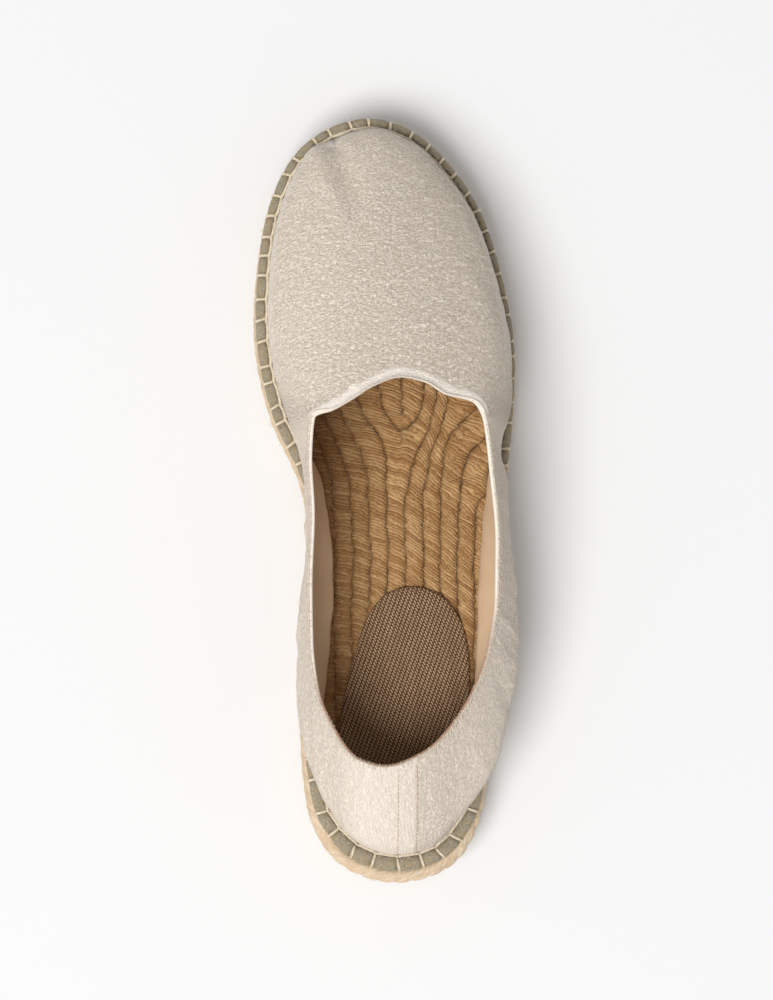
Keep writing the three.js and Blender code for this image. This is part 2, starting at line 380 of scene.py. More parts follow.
def grid_mesh(name, rings, layouts=None, looped=False, capped=False, values=None):
    """Rings of points joined by quads. Rings that run anticlockwise and climb face outwards."""
    count_up, count_round = rings.shape[:2]
    level = np.arange(count_up if looped else count_up - 1)[:, None]
    above = (level + 1) % count_up
    i = np.arange(count_round)[None, :]
    after = (i + 1) % count_round
    corner = [level * count_round + i, level * count_round + after]
    corner += [above * count_round + after, above * count_round + i]
    faces = np.stack(corner, axis=-1).reshape(-1, 4)
    points = rings.reshape(-1, 3)
    polygons = faces.tolist()
    if capped:
        middles = np.stack([rings[0].mean(axis=0), rings[-1].mean(axis=0)])
        points = np.vstack([points, middles])
        first, last = len(points) - 2, len(points) - 1
        start = (count_up - 1) * count_round
        for a in range(count_round):
            b = (a + 1) % count_round
            polygons.append([first, b, a])
            polygons.append([last, start + a, start + b])
    mesh = bpy.data.meshes.new(name)
    mesh.from_pydata(((points + SHIFT) * MM).tolist(), [], polygons)
    right, upper_row = np.arange(count_round)[None, :] + 1, level + 1
    for key, flat in (layouts or {}).items():
        wide = [flat[level, i], flat[level, right], flat[upper_row, right], flat[upper_row, i]]
        corners = np.stack(wide, axis=2).reshape(-1, 2)
        loops = np.zeros((len(mesh.loops), 2))
        loops[: len(corners)] = corners / MM_PER_CM
        layer = mesh.uv_layers.new(name=key)
        layer.data.foreach_set("uv", loops.ravel())
    for key, field in (values or {}).items():
        attribute = mesh.attributes.new(key, "FLOAT", "POINT")
        filled = np.zeros(len(points))
        filled[: field.size] = field.ravel()
        if capped:
            filled[-2:] = field[0].mean(), field[-1].mean()
        attribute.data.foreach_set("value", filled)
    mesh.update()
    return mesh


print("mesh helpers ready")

# %% Wrap nodes so that maths reads as arithmetic


class Wire:
    """One output socket. Arithmetic on it adds the Math nodes that work it out."""

    def __init__(self, graph, socket):
        self.graph = graph
        self.socket = socket

    def _math(self, operation, first, second=0.0):
        return self.graph.node("ShaderNodeMath", {"operation": operation}, {0: first, 1: second})

    def __add__(self, other):
        return self._math("ADD", self, other)

    def __sub__(self, other):
        return self._math("SUBTRACT", self, other)

    def __rsub__(self, other):
        return self._math("SUBTRACT", other, self)

    def __mul__(self, other):
        return self._math("MULTIPLY", self, other)

    def __pow__(self, other):
        return self._math("POWER", self, other)

    __radd__ = __add__
    __rmul__ = __mul__

    def sin(self):
        return self._math("SINE", self)

    def cos(self):
        return self._math("COSINE", self)

    def size(self):
        return self._math("ABSOLUTE", self)

    def sign(self):
        return self._math("SIGN", self)

    def whole(self):
        return self._math("FLOOR", self)

    def between(self, low, high):
        """0 below `low`, 1 above `high`, smooth in between."""
        settings = {"interpolation_type": "SMOOTHSTEP"}
        inputs = {0: self, 1: low, 2: high, 3: 0.0, 4: 1.0}
        return self.graph.node("ShaderNodeMapRange", settings, inputs)


class Graph:
    """A node tree. `node` adds any node: its settings first, then its sockets."""

    def __init__(self, tree):
        self.tree = tree
        tree.nodes.clear()

    def node(self, kind, settings=None, inputs=None, output=0):
        made = self.tree.nodes.new(kind)
        for key, value in (settings or {}).items():
            setattr(made, key, value)
        for key, value in (inputs or {}).items():
            self.plug(made.inputs[key], value)
        return Wire(self, made.outputs[output]) if len(made.outputs) else made

    def plug(self, socket, value):
        if isinstance(value, Wire):
            self.tree.links.new(value.socket, socket)
        else:
            socket.default_value = value


print("node helpers ready")

# %% [markdown]
# A finish is a principled surface with a colour, a roughness and a relief. Colours are written as
# a dyer would match them, in the usual eight-bit hex, and turned into the linear values that a
# renderer mixes. Only the base colour, the roughness and the normal vary over a surface here,
# which is what cloth and rope need and what survives an export.

# %% Make a finish


def tint(code):
    parts = [int(code[i : i + 2], 16) / 255 for i in (1, 3, 5)]
    linear = [c / 12.92 if c <= 0.04045 else ((c + 0.055) / 1.055) ** 2.4 for c in parts]
    return (*linear, 1.0)


class Finish(Graph):
    def __init__(self, name):
        self.material = bpy.data.materials.new(name)
        self.material.use_nodes = True
        super().__init__(self.material.node_tree)

    def cloth_mm(self, layout="cloth_cm"):
        """The piece's own cloth coordinates, in millimetres."""
        uv = self.node("ShaderNodeUVMap", {"uv_map": layout})
        return self.stretch(uv, (MM_PER_CM, MM_PER_CM, MM_PER_CM))

    def place_mm(self):
        place = self.node("ShaderNodeTexCoord", output="Object")
        return self.stretch(place, (1 / MM, 1 / MM, 1 / MM))

    def value(self, name):
        return self.node("ShaderNodeAttribute", {"attribute_name": name}, output="Fac")

    def stretch(self, vector, factors):
        settings = {"operation": "MULTIPLY"}
        return self.node("ShaderNodeVectorMath", settings, {0: vector, 1: factors})

    def shove(self, vector, offset):
        return self.node("ShaderNodeVectorMath", {"operation": "ADD"}, {0: vector, 1: offset})

    def part(self, vector, axis):
        return self.node("ShaderNodeSeparateXYZ", None, {0: vector}, output=axis)

    def vector(self, x, y, z=0.0):
        return self.node("ShaderNodeCombineXYZ", None, {0: x, 1: y, 2: z})

    def laid_thread(self, twist):
        """Coordinates that turn with the twist of a thread: round it, then along it in mm."""
        round_it = self.node("ShaderNodeAttribute", {"attribute_name": "round_it"}, output="Vector")
        x, y = self.part(round_it, "X"), self.part(round_it, "Y")
        along = self.value("along_mm")
        cos, sin = (along * twist).cos(), (along * twist).sin()
        return self.vector(x * cos - y * sin, x * sin + y * cos, along)

    def noise(self, vector, scale=1.0, detail=2.0, roughness=0.5, output="Fac"):
        inputs = {"Vector": vector, "Scale": scale, "Detail": detail, "Roughness": roughness}
        return self.node("ShaderNodeTexNoise", None, inputs, output)

    def chance(self, vector):
        """A number from 0 to 1 that is the same wherever the vector is the same."""
        return self.node("ShaderNodeTexWhiteNoise", {"noise_dimensions": "2D"}, {"Vector": vector})

    def blend(self, factor, first, second):
        inputs = {0: factor, 6: first, 7: second}
        return self.node("ShaderNodeMix", {"data_type": "RGBA"}, inputs, 2)

    def relief(self, height, depth_mm):
        inputs = {"Height": height, "Distance": depth_mm * MM}
        return self.node("ShaderNodeBump", None, inputs, "Normal")

    def surface(self, colour, roughness, normal=None, sheen=0.0, sheen_tint=(1, 1, 1, 1)):
        inputs = {"Base Color": colour, "Roughness": roughness, "Specular IOR Level": 0.25}
        inputs.update({"Sheen Weight": sheen, "Sheen Roughness": 0.6, "Sheen Tint": sheen_tint})
        if normal is not None:
            inputs["Normal"] = normal
        bsdf = self.node("ShaderNodeBsdfPrincipled", None, inputs)
        self.node("ShaderNodeOutputMaterial", None, {"Surface": bsdf})
        return self.material


print("finish helpers ready")

# %% [markdown]
# Many pieces repeat one small thing along a path: strands of the plait, stitches, fibres. Those
# are made with Geometry Nodes. A tree gets named inputs for its sizes and a fixed seed, the shoe's
# functions give it the path as a mesh of points with attributes, and the result is turned into a
# plain mesh at the end, so nothing depends on a live modifier.

# %% Build a geometry tree and turn its result into a plain mesh


class Pattern(Graph):
    """A geometry tree with named inputs."""

    KINDS = {float: "NodeSocketFloat", int: "NodeSocketInt"}

    def __init__(self, name, sizes):
        super().__init__(bpy.data.node_groups.new(name, "GeometryNodeTree"))
        face = self.tree.interface
        face.new_socket(name="Geometry", in_out="OUTPUT", socket_type="NodeSocketGeometry")
        face.new_socket(name="Geometry", in_out="INPUT", socket_type="NodeSocketGeometry")
        face.new_socket(name="Finish", in_out="INPUT", socket_type="NodeSocketMaterial")
        self.sizes = sizes
        self.keys = {}
        for key, value in sizes.items():
            kind = self.KINDS[type(value)]
            self.keys[key] = face.new_socket(name=key, in_out="INPUT", socket_type=kind).identifier
        self.keys["Finish"] = face.items_tree["Finish"].identifier
        self.entry = self.tree.nodes.new("NodeGroupInput")

    def input(self, name):
        return Wire(self, self.entry.outputs[name])

    def field(self, name, kind="FLOAT"):
        return self.node("GeometryNodeInputNamedAttribute", {"data_type": kind}, {"Name": name})

    def vector(self, x, y, z):
        return self.node("ShaderNodeCombineXYZ", None, {0: x, 1: y, 2: z})

    def scaled(self, vector, factor):
        inputs = {0: vector, "Scale": factor}
        return self.node("ShaderNodeVectorMath", {"operation": "SCALE"}, inputs)

    def sum(self, first, second):
        return self.node("ShaderNodeVectorMath", {"operation": "ADD"}, {0: first, 1: second})

    def keep(self, geometry, name, value, kind="FLOAT"):
        """Stores a value on the points, so that it lasts into the mesh."""
        inputs = {"Geometry": geometry, "Name": name, "Value": value}
        return self.node("GeometryNodeStoreNamedAttribute", {"data_type": kind}, inputs)

    def join(self, parts):
        joined = self.node("GeometryNodeJoinGeometry")
        for part in parts:
            self.plug(joined.socket.node.inputs[0], part)
        return joined

    def random(self, low, high, seed):
        inputs = {2: low, 3: high, "Seed": seed}
        return self.node("FunctionNodeRandomValue", {"data_type": "FLOAT"}, inputs, 1)

    def ellipse(self, half_wide, half_high, sides):
        """A closed profile for a thread or strand, which knows its way round."""
        ring = self.node("GeometryNodeCurvePrimitiveCircle", None, {0: sides, "Radius": 1.0})
        place = self.node("GeometryNodeInputPosition")
        ring = self.keep(ring, "round_it", place, "FLOAT_VECTOR")
        size = self.vector(half_wide, half_high, 1.0)
        return self.node("GeometryNodeTransform", None, {"Geometry": ring, "Scale": size})

    def finish_tree(self, geometry):
        solid = self.node("GeometryNodeRealizeInstances", None, {"Geometry": geometry})
        inputs = {"Geometry": solid, "Material": self.input("Finish")}
        dressed = self.node("GeometryNodeSetMaterial", None, inputs)
        leave = self.tree.nodes.new("NodeGroupOutput")
        self.tree.links.new(dressed.socket, leave.inputs[0])

    def make(self, name, guide, material, **sizes):
        """Runs the tree on a guide mesh and keeps only the plain result."""
        carrier = bpy.data.objects.new(name + ".guide", guide)
        bpy.context.scene.collection.objects.link(carrier)
        modifier = carrier.modifiers.new("pattern", "NODES")
        modifier.node_group = self.tree
        modifier[self.keys["Finish"]] = material
        for key, value in {**self.sizes, **sizes}.items():
            modifier[self.keys[key]] = value
        carrier.update_tag()
        depsgraph = bpy.context.evaluated_depsgraph_get()
        depsgraph.update()
        mesh = bpy.data.meshes.new_from_object(carrier.evaluated_get(depsgraph))
        mesh.name = name
        carrier.modifiers.clear()
        bpy.data.objects.remove(carrier)
        return new_piece(name, mesh, material)


def guide_mesh(name, points, edges=(), **fields):
    """Points, and edges between them, that carry numbers and directions for a tree."""
    mesh = bpy.data.meshes.new(name)
    mesh.from_pydata(((points + SHIFT) * MM).tolist(), list(edges), [])
    for key, field in fields.items():
        field = np.asarray(field, float)
        if field.ndim == 2:
            attribute = mesh.attributes.new(key, "FLOAT_VECTOR", "POINT")
            attribute.data.foreach_set("vector", field.ravel())
        else:
            attribute = mesh.attributes.new(key, "FLOAT", "POINT")
            attribute.data.foreach_set("value", field)
    return mesh


def once_round(count):
    """Shares once round the shoe and one step on, so that the two ends of a rope overlap."""
    return np.arange(count + 2) / count


def chain(count, first=0):
    """Edges that join a run of points one after another."""
    return [(first + i, first + i + 1) for i in range(count)]


print("pattern helpers ready")

# %% [markdown]
# Nothing woven or braided is even. A sum of a few slow waves in random directions gives an
# unevenness that repeats exactly each time the script runs, and that can be asked for at any
# point, which a noise texture on a mesh can't.

# %% Slow random waves


def ripple(x, y, wavelength, seed, waves=7):
    """A smooth random field, mostly between -1 and 1."""
    rng = np.random.default_rng(seed)
    total = np.zeros(np.broadcast(x, y).shape)
    for _ in range(waves):
        angle, phase = rng.uniform(0, 2 * np.pi, 2)
        pace = 2 * np.pi * rng.uniform(0.7, 1.4) / wavelength
        total = total + np.sin(pace * (x * math.cos(angle) + y * math.sin(angle)) + phase)
    return total / math.sqrt(waves)


def ease(value, low, high):
    """0 below `low`, 1 above `high`, smooth in between."""
    t = np.clip((np.asarray(value, float) - low) / (high - low), 0, 1)
    return t * t * (3 - 2 * t)


def bend_in(value, softness):
    """0 for what is well below 0 and the value itself well above, with a soft bend."""
    return (value + np.sqrt(value**2 + softness**2)) / 2


print("ripple spread:", round(float(ripple(np.arange(500), 0, 20, 1).std()), 2))

# %% [markdown]
# ## The rope sole
#
# The sole is a flat braid of jute, stood on edge and coiled, then sewn through from side to side.
# On the footbed it shows as rows that run from heel to toe with dark grooves between them. Where
# the foot widens, the rows part round an eye and new turns of the braid fill the gap.
#
# One field gives the whole pattern: the distance aside from the middle row, less how far the rows
# have parted there. Its level lines are the grooves. Where the opening is wider than the distance,
# the innermost turn of the braid bends round the end of its own groove. The rows could be modelled
# one by one as tubes, but the field also knows how far across its row every point is, and the
# colour needs that too.

# %% Rows of the footbed
ROW_WIDTH = 6.4
ROW_DEPTH = 0.95
CORE_INSET = 2.7
MIDDLE_X = 5.0
EYE_X = 7.2
EYE_START = 163.0
TURN_END = 175.0
ROWS_EACH_SIDE = 24
BUNDLE_PITCH = 1.3
HOLE_PITCH = 7.0
SHARPEST_TURN = 0.3
row_rng = np.random.default_rng(11)
bundle_tilt = row_rng.uniform(-0.1, 0.1, 2 * ROWS_EACH_SIDE)
bundle_phase = row_rng.uniform(0, 1, 2 * ROWS_EACH_SIDE)


def middle_row(along):
    """Where the middle row runs: it leans a little outwards on its way to the eye."""
    return MIDDLE_X + (EYE_X - MIDDLE_X) * ease(along, 135, 170)


def opening(along):
    """How far the eye holds the rows apart: quickly round its end, then slowly."""
    quick = 0.35 * (bend_in(along - EYE_START, 3) - bend_in(along - TURN_END, 3))
    return quick + 0.2 * np.minimum(bend_in(along - EYE_START - 1, 4), 60)


def across_rows(x, along):
    """How far aside of the middle row a point of the footbed lies, in millimetres of braid."""
    middle_x = middle_row(along)
    # No row is quite straight: slow, middling and quick waves push it aside.
    x = x + 0.25 * ripple(x, along, 13, 41) + 0.35 * ripple(x, along, 45, 42)
    x = x + 0.16 * ripple(x, along, 3.4, 43)
    # Towards the eye the middle rows turn bluntly, and the rows beside them keep their width.
    blunt = SHARPEST_TURN + 5.0 * ease(along, 140, TURN_END)
    aside = np.hypot(x - middle_x, blunt) - blunt
    aside = aside + (blunt - SHARPEST_TURN) * ease(np.abs(x - middle_x), 6, 20)
    # The rows part on both sides of the eye: leaning on the inner side, flared on the outer one.
    inner_lean = 0.43 * np.minimum(bend_in(along - 150, 6), 34) + middle_x - MIDDLE_X
    outer_flare = 5.0 * ease(along, 138.5, 147) + 3.0 * ease(along, 152, 168)
    parted = opening(along)
    parted = parted + (inner_lean - parted) * ease(-x, 0, 14)
    outside = aside - parted - outer_flare * ease(x, 24, 42)
    # Where they have parted further than a point lies aside, it is inside the innermost turn.
    heart = opening(np.maximum(along, TURN_END)) - ROW_WIDTH / 2
    inside = np.clip((-outside - ROW_WIDTH / 2) / heart, 0, 1)
    innermost = -ROW_WIDTH / 2 - ROW_WIDTH * (1 - np.sqrt(1 - inside))
    return np.where(outside < -ROW_WIDTH / 2, innermost, outside)


def bundles(across, along, x):
    """Running number of the fibre bundle that a point lies in, along its row."""
    side = np.sign(x - middle_row(along))
    row = np.floor(across / ROW_WIDTH + 0.5).astype(int)
    pick = (row + np.where(side > 0, ROWS_EACH_SIDE, 0)) % (2 * ROWS_EACH_SIDE)
    local = side * (across - row * ROW_WIDTH)
    tilt = 0.15 + 0.55 * ease(x, -24, 18) + bundle_tilt[pick]
    place = along + tilt * local + 0.35 * ripple(along, across, 9, 3)
    return place / BUNDLE_PITCH + bundle_phase[pick]


print("rows across the ball:", round(BALL_WIDTH / ROW_WIDTH, 1))

# %% [markdown]
# The core of the sole is a tube along the shoe: each ring is one cross-section, with the footbed
# on top and the tread beneath. It stops short of the outline, because the outermost turn of the
# braid is a piece of its own.

# %% The core of the sole: cross-sections along the shoe
RINGS = 470
TOP_COLUMNS = 118
TREAD_COLUMNS = 60
EDGE_ROUND = 1.7
END_TRIM = 1.8
RIM_STEPS = 2400
core_rim = rim_point(np.arange(RIM_STEPS) / RIM_STEPS, CORE_INSET, 0)[:, :2]
core_rim = np.roll(core_rim, -core_rim[:, 1].argmin(), axis=0)
tip = core_rim[:, 1].argmax()
outer_rim = core_rim[: tip + 1]
inner_rim = np.vstack([core_rim[tip:], core_rim[:1]])[::-1]


def core_width(along):
    inner = np.interp(along, inner_rim[:, 1], inner_rim[:, 0])
    outer = np.interp(along, outer_rim[:, 1], outer_rim[:, 0])
    return inner, outer


even = np.linspace(0, 1, RINGS)
crowded = (1 - np.cos(np.pi * even)) / 2
shares = 0.8 * even + 0.2 * crowded
ends = core_rim[0, 1] + END_TRIM, core_rim[tip, 1] - END_TRIM
along = (ends[0] + (ends[1] - ends[0]) * shares)[:, None]
inner, outer = core_width(along)
at = along / SOLE_LENGTH


def across_core(columns):
    """Points from the inner to the outer edge, with how far each is from the nearest edge."""
    share = np.linspace(0, 1, columns)[None, :]
    x = inner + (outer - inner) * share
    to_end = np.minimum(along - ends[0], ends[1] - along)
    return x, np.minimum(np.minimum(x - inner, outer - x), to_end)


print("core of the sole in mm, from heel to toe:", round(float(ends[1] - ends[0]), 1))

# %% [markdown]
# A row is rounded like the top of a rope, and the bundles of fibre that cross it swell a little.
# Slow waves keep it from looking pressed. Towards the rim the rows sink, so that the plait and the
# band can lie beside them.

# %% The relief of the footbed
CORE_SINK = 0.3
RIM_DROP = 0.8
ROW_FULLNESS = 2.5
BUNDLE_SWELL = 0.22
x, edge = across_core(TOP_COLUMNS)
row_place = across_rows(x, along)
row_share = row_place / ROW_WIDTH + 0.5
row_profile = 1 - np.abs(2 * (row_share - np.floor(row_share)) - 1) ** ROW_FULLNESS
bundle = bundles(row_place, along, x)
pair_swell = np.abs(np.sin(np.pi * bundle / 2)) ** 0.8
rounding = 1 - np.sqrt(1 - np.clip(1 - edge / EDGE_ROUND, 0, 1) ** 2)
lumps = 0.22 * ripple(x, along, 16, 5) + 0.03 * ripple(x, along, 4.5, 6)
relief = ROW_DEPTH * row_profile + BUNDLE_SWELL * pair_swell * row_profile + lumps
top_z = footbed(at) - ROW_DEPTH - CORE_SINK + relief - EDGE_ROUND * rounding
top_z = top_z - RIM_DROP * (1 - ease(edge, 0.5, 4.0))
top = np.stack([x, along + 0 * x, top_z], axis=-1)
print("relief of the rows in mm:", round(float(np.ptp(relief)), 2))

# %% [markdown]
# Underneath there is no rubber, only the same braid, coiled along the outline. The distance from
# the rim is enough to draw its turns, so the tread needs no field of its own.

# %% The tread, and the mesh of the whole core
TREAD_DEPTH = 1.25
TREAD_FULLNESS = 4
TREAD_SWELL = 0.25
x_low, edge_low = across_core(TREAD_COLUMNS)
x_low, edge_low = x_low[:, ::-1], edge_low[:, ::-1]
tread_share = edge_low / ROW_WIDTH
tread_profile = 1 - np.abs(2 * (tread_share - np.floor(tread_share)) - 1) ** TREAD_FULLNESS
low_rounding = 1 - np.sqrt(1 - np.clip(1 - edge_low / EDGE_ROUND, 0, 1) ** 2)
tread_turn = (along + 0.3 * x_low) / BUNDLE_PITCH
tread_bundle = np.abs(np.sin(np.pi * tread_turn / 2))
low_z = underside(at) + TREAD_DEPTH * (1 - tread_profile)
low_z = low_z + TREAD_SWELL * (1 - tread_bundle) + EDGE_ROUND * low_rounding
bottom = np.stack([x_low, along + 0 * x_low, low_z], axis=-1)
core_rings = np.concatenate([top, bottom], axis=1)
core_values = {
    "row": np.concatenate([row_place, edge_low - ROW_WIDTH / 2], axis=1),
    "bundle": np.concatenate([bundle, tread_turn], axis=1),
    "rim": 1 - ease(np.concatenate([edge, edge_low], axis=1), 0.5, 4.5),
}
core_mesh = grid_mesh("rope_core", core_rings, capped=True, values=core_values)
print("core rings:", core_rings.shape)

# %% [markdown]
# Jute is a tan bast fibre with a dull silky shine. Its colour changes from bundle to bundle. Shade
# is
# painted into it: darker in the grooves, where light doesn't reach, at their stitch holes and
# between the bundles, and a painted shadow of the inner wall darkens the inner side. Long streaks
# of noise, stretched along the fibres, give both the colour and a fine relief.

# %% Jute for the rows of the footbed


def jute_footbed():
    finish = Finish("jute_footbed")
    row, bundle = finish.value("row"), finish.value("bundle")
    share = row * (1 / ROW_WIDTH) + 0.5
    number = share.whole()
    to_groove = ((share - number) * 2.0 - 1.0).size()
    swell = (bundle * math.pi).sin().size()
    hair = finish.noise(finish.vector(row * 0.55, bundle * 2.6, number), 1.0, 3.0, 0.65)
    fleck = finish.noise(finish.vector(row * 1.2, bundle * 4.6, number), 1.0, 2.0, 0.6)
    place = finish.place_mm()
    patch = finish.noise(finish.stretch(place, (0.09, 0.09, 0.09)), 1.0, 2.0)
    # Patches where the painted shade in the grooves goes deeper.
    wear_and_shade_patches = finish.noise(finish.stretch(place, (0.13, 0.05, 0.1)), 1.0, 1.0).between(0.35, 0.62)
    tuft = finish.noise(finish.vector(row * 0.25, bundle * 0.3, number), 1.0, 2.0, 0.6)
    strand = finish.chance(finish.vector(bundle.whole(), number))
    tone = (hair * 0.42 + fleck * 0.4 + tuft * 0.06 + strand * 0.12).between(0.35, 0.66)
    colour = finish.blend(tone, tint("#875C31"), tint("#D0AB78"))
    colour = finish.blend(patch.between(0.42, 0.66) * 0.35, colour, tint("#A4764A"))
    # Painted shade in the gaps between the bundles, where they part, broken up by the tufts.
    parted = (1.0 - swell).between(0.45, 1.0) * tuft.between(0.62, 0.4)
    colour = finish.blend(parted * 0.45, colour, tint("#6C4622"))
    # Painted shadow: the inner side of the footbed is darkened, as if the inner wall shaded it.
    inner_wall_shadow = finish.part(place, "X").between(8.0, -30.0)
    colour = finish.blend(inner_wall_shadow * 0.4, colour, tint("#6E4214"))
    broken = finish.noise(finish.vector(row * 0.12, bundle * 0.55, number), 1.0, 2.0, 0.6)
    sewn = ((bundle * (BUNDLE_PITCH / HOLE_PITCH) + number * 0.37) * math.pi).sin().size()
    # Painted shade in the grooves, deepest at the stitch holes and in patches, broken along the
    # groove.
    hole_shade = to_groove.between(0.8, 0.97) * (wear_and_shade_patches * 0.25 + sewn.between(0.72, 0.95) * 0.6)
    shadow = to_groove.between(0.5, 1.0) * (broken * 0.9 - 0.1)
    colour = finish.blend(shadow, colour, tint("#6F4722"))
    colour = finish.blend(hole_shade * broken.between(0.3, 0.6), colour, tint("#321C0B"))
    colour = finish.blend(finish.value("rim") * 0.88, colour, tint("#D8C09B"))
    normal = finish.relief(swell * 0.6 + hair * 0.5 + fleck * 0.2 + strand * 0.3, 0.36)
    return finish.surface(colour, 0.86 - tone * 0.18, normal, 0.15, tint("#E8CFA4"))


rope_core = new_piece("rope_core", core_mesh, jute_footbed())
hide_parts("sole")

# %% [markdown]
# The rope on the side of the sole sees more light than the footbed and no feet, so it stays paler.
# Its fibres follow the strand. The coordinates turn with the twist: noise that is drawn out along
# them gives the streaks, and a sine across them paints shade into the gaps between the plies.

# %% Jute for the strands


def jute_strand():
    finish = Finish("jute_strand")
    lay = finish.laid_thread(0.28)
    streak = finish.noise(finish.stretch(lay, (3.2, 3.2, 0.2)), 1.6, 3.0, 0.6)
    hair = finish.noise(finish.stretch(lay, (10.0, 10.0, 0.3)), 2.2, 2.0, 0.6)
    ply = (finish.part(lay, "X") * 5.5).sin()
    patch = finish.noise(finish.stretch(finish.place_mm(), (0.09, 0.09, 0.09)), 1.0, 2.0)
    tone = (streak * 0.55 + hair * 0.45).between(0.28, 0.7)
    colour = finish.blend(tone, tint("#C3A684"), tint("#E9D7BD"))
    colour = finish.blend(patch.between(0.4, 0.66) * 0.35, colour, tint("#CCAB86"))
    # Painted shade in the gaps between the plies.
    colour = finish.blend((0.0 - ply).between(0.72, 1.0) * 0.12, colour, tint("#97744B"))
    speck = finish.noise(finish.stretch(finish.place_mm(), (0.9, 0.9, 0.9)), 1.0, 3.0, 0.7)
    colour = finish.blend(speck.between(0.56, 0.72) * 0.5, colour, tint("#A37C50"))
    normal = finish.relief(streak * 0.4 + hair * 0.4 + ply * 0.25, 0.4)
    return finish.surface(colour, 0.84 - tone * 0.16, normal, 0.15, tint("#F0DDBB"))


print("jute finishes ready")

# %% [markdown]
# The outermost turn shows on the side of the shoe as a plait of three strands on edge. In a plait
# each strand swings up and down, and twice as fast in and out, a third of a swing behind the one
# before. Those two waves are the whole braid, so Geometry Nodes can lay it round the outline.

# %% The path of the plait
PLAIT_POINTS = 760
PLAIT_SWINGS = 33
PLAIT_INSET = 4.0
PLAIT_SIDES = 12
plait_share = once_round(PLAIT_POINTS)
_, plait_out, plait_at = station(plait_share)
plait_middle = (footbed(plait_at) + underside(plait_at)) / 2
plait_guide = guide_mesh(
    "edge_plait",
    rim_point(plait_share, PLAIT_INSET, plait_middle),
    chain(PLAIT_POINTS + 1),
    out=np.column_stack([plait_out, np.zeros(PLAIT_POINTS + 2)]),
    half_height=(footbed(plait_at) - underside(plait_at)) / 2 * MM,
    along_mm=plait_share * outline.length,
    swing=plait_share * PLAIT_SWINGS * 2 * math.pi,
)
print("one swing of the plait in mm:", round(outline.length / PLAIT_SWINGS, 1))

# %% Three strands along the path
plait = Pattern(
    "three_strand_plait",
    {"Strand Width": 9.6 * MM, "Strand Thickness": 6.0 * MM, "Sway": 0.45 * MM},
)
path = plait.node("GeometryNodeMeshToCurve", None, {"Mesh": plait.input("Geometry")})
upright = {"mode": "Z_UP"}
reach = plait.field("half_height") - plait.input("Strand Width") * 0.5
strands = []
half_thickness = plait.input("Strand Thickness") * 0.5
half_strand = plait.input("Strand Width") * 0.5
profile = plait.ellipse(half_thickness, half_strand, PLAIT_SIDES)
for strand in range(3):
    swing = plait.field("swing") + strand * 2 * math.pi / 3
    lift = plait.vector(0.0, 0.0, swing.sin() * reach)
    in_and_out = (swing * 2.0).sin() * plait.input("Sway")
    sway = plait.scaled(plait.field("out", "FLOAT_VECTOR"), in_and_out)
    moved = {"Geometry": path, "Offset": plait.sum(lift, sway)}
    curve = plait.node("GeometryNodeSetPosition", None, moved)
    curve = plait.node("GeometryNodeSetCurveNormal", upright, {"Curve": curve})
    solid = {"Curve": curve, "Profile Curve": profile, "Fill Caps": True}
    strands.append(plait.node("GeometryNodeCurveToMesh", None, solid))
plait.finish_tree(plait.join(strands))
strand_finish = jute_strand()
edge_plait = plait.make("edge_plait", plait_guide, strand_finish)

# %% [markdown]
# Behind the plait lie two more rounds of plain rope, one just under the band and one on the
# tread. They close the hollows that the strands leave at the top and the bottom. A tube along a
# path is enough for them, and the same small tree lays the twine of the upper later on. The twist
# of the lower round starts elsewhere, so that the two don't look copied.

# %% The rope behind the plait
FILLER_RADIUS = 2.0
LOW_TURN_SHIFT = 0.37
laid = Pattern("laid_twine", {"Thread Radius": 0.62 * MM, "Sides": 8})
path = laid.node("GeometryNodeMeshToCurve", None, {"Mesh": laid.input("Geometry")})
radius = laid.input("Thread Radius")
profile = laid.ellipse(radius, radius, laid.input("Sides"))
solid = {"Curve": path, "Profile Curve": profile, "Fill Caps": True}
laid.finish_tree(laid.node("GeometryNodeCurveToMesh", None, solid))
high_turn = rim_point(plait_share, PLAIT_INSET + 0.2, footbed(plait_at) - FILLER_RADIUS)
high_turn[:, 2] += 0.1 * ripple(high_turn[:, 0], high_turn[:, 1], 11, 12)
low_turn = rim_point(plait_share, PLAIT_INSET + 0.1, underside(plait_at) + FILLER_RADIUS + 0.05)
filler_guide = guide_mesh(
    "filler_rope",
    np.vstack([high_turn, low_turn]),
    chain(PLAIT_POINTS + 1) + chain(PLAIT_POINTS + 1, PLAIT_POINTS + 2),
    along_mm=np.concatenate([plait_share, plait_share + LOW_TURN_SHIFT]) * outline.length,
)
filler_sizes = {"Thread Radius": FILLER_RADIUS * MM, "Sides": PLAIT_SIDES}
filler_rope = laid.make("filler_rope", filler_guide, strand_finish, **filler_sizes)

# %% [markdown]
# ## The edge band
#
# A folded strip of grey-green cotton lies round the rim of the sole, against the upper, and the
# blanket stitches hold it there. The stitches come first, because everything on the rim answers to
# them. They are a hand's work: about eight millimetres apart along the sides and the toe, wider
# round the heel, and never quite even. Counting stitches along the rim gives a running number, and
# the place of each stitch is read off where that number is whole.

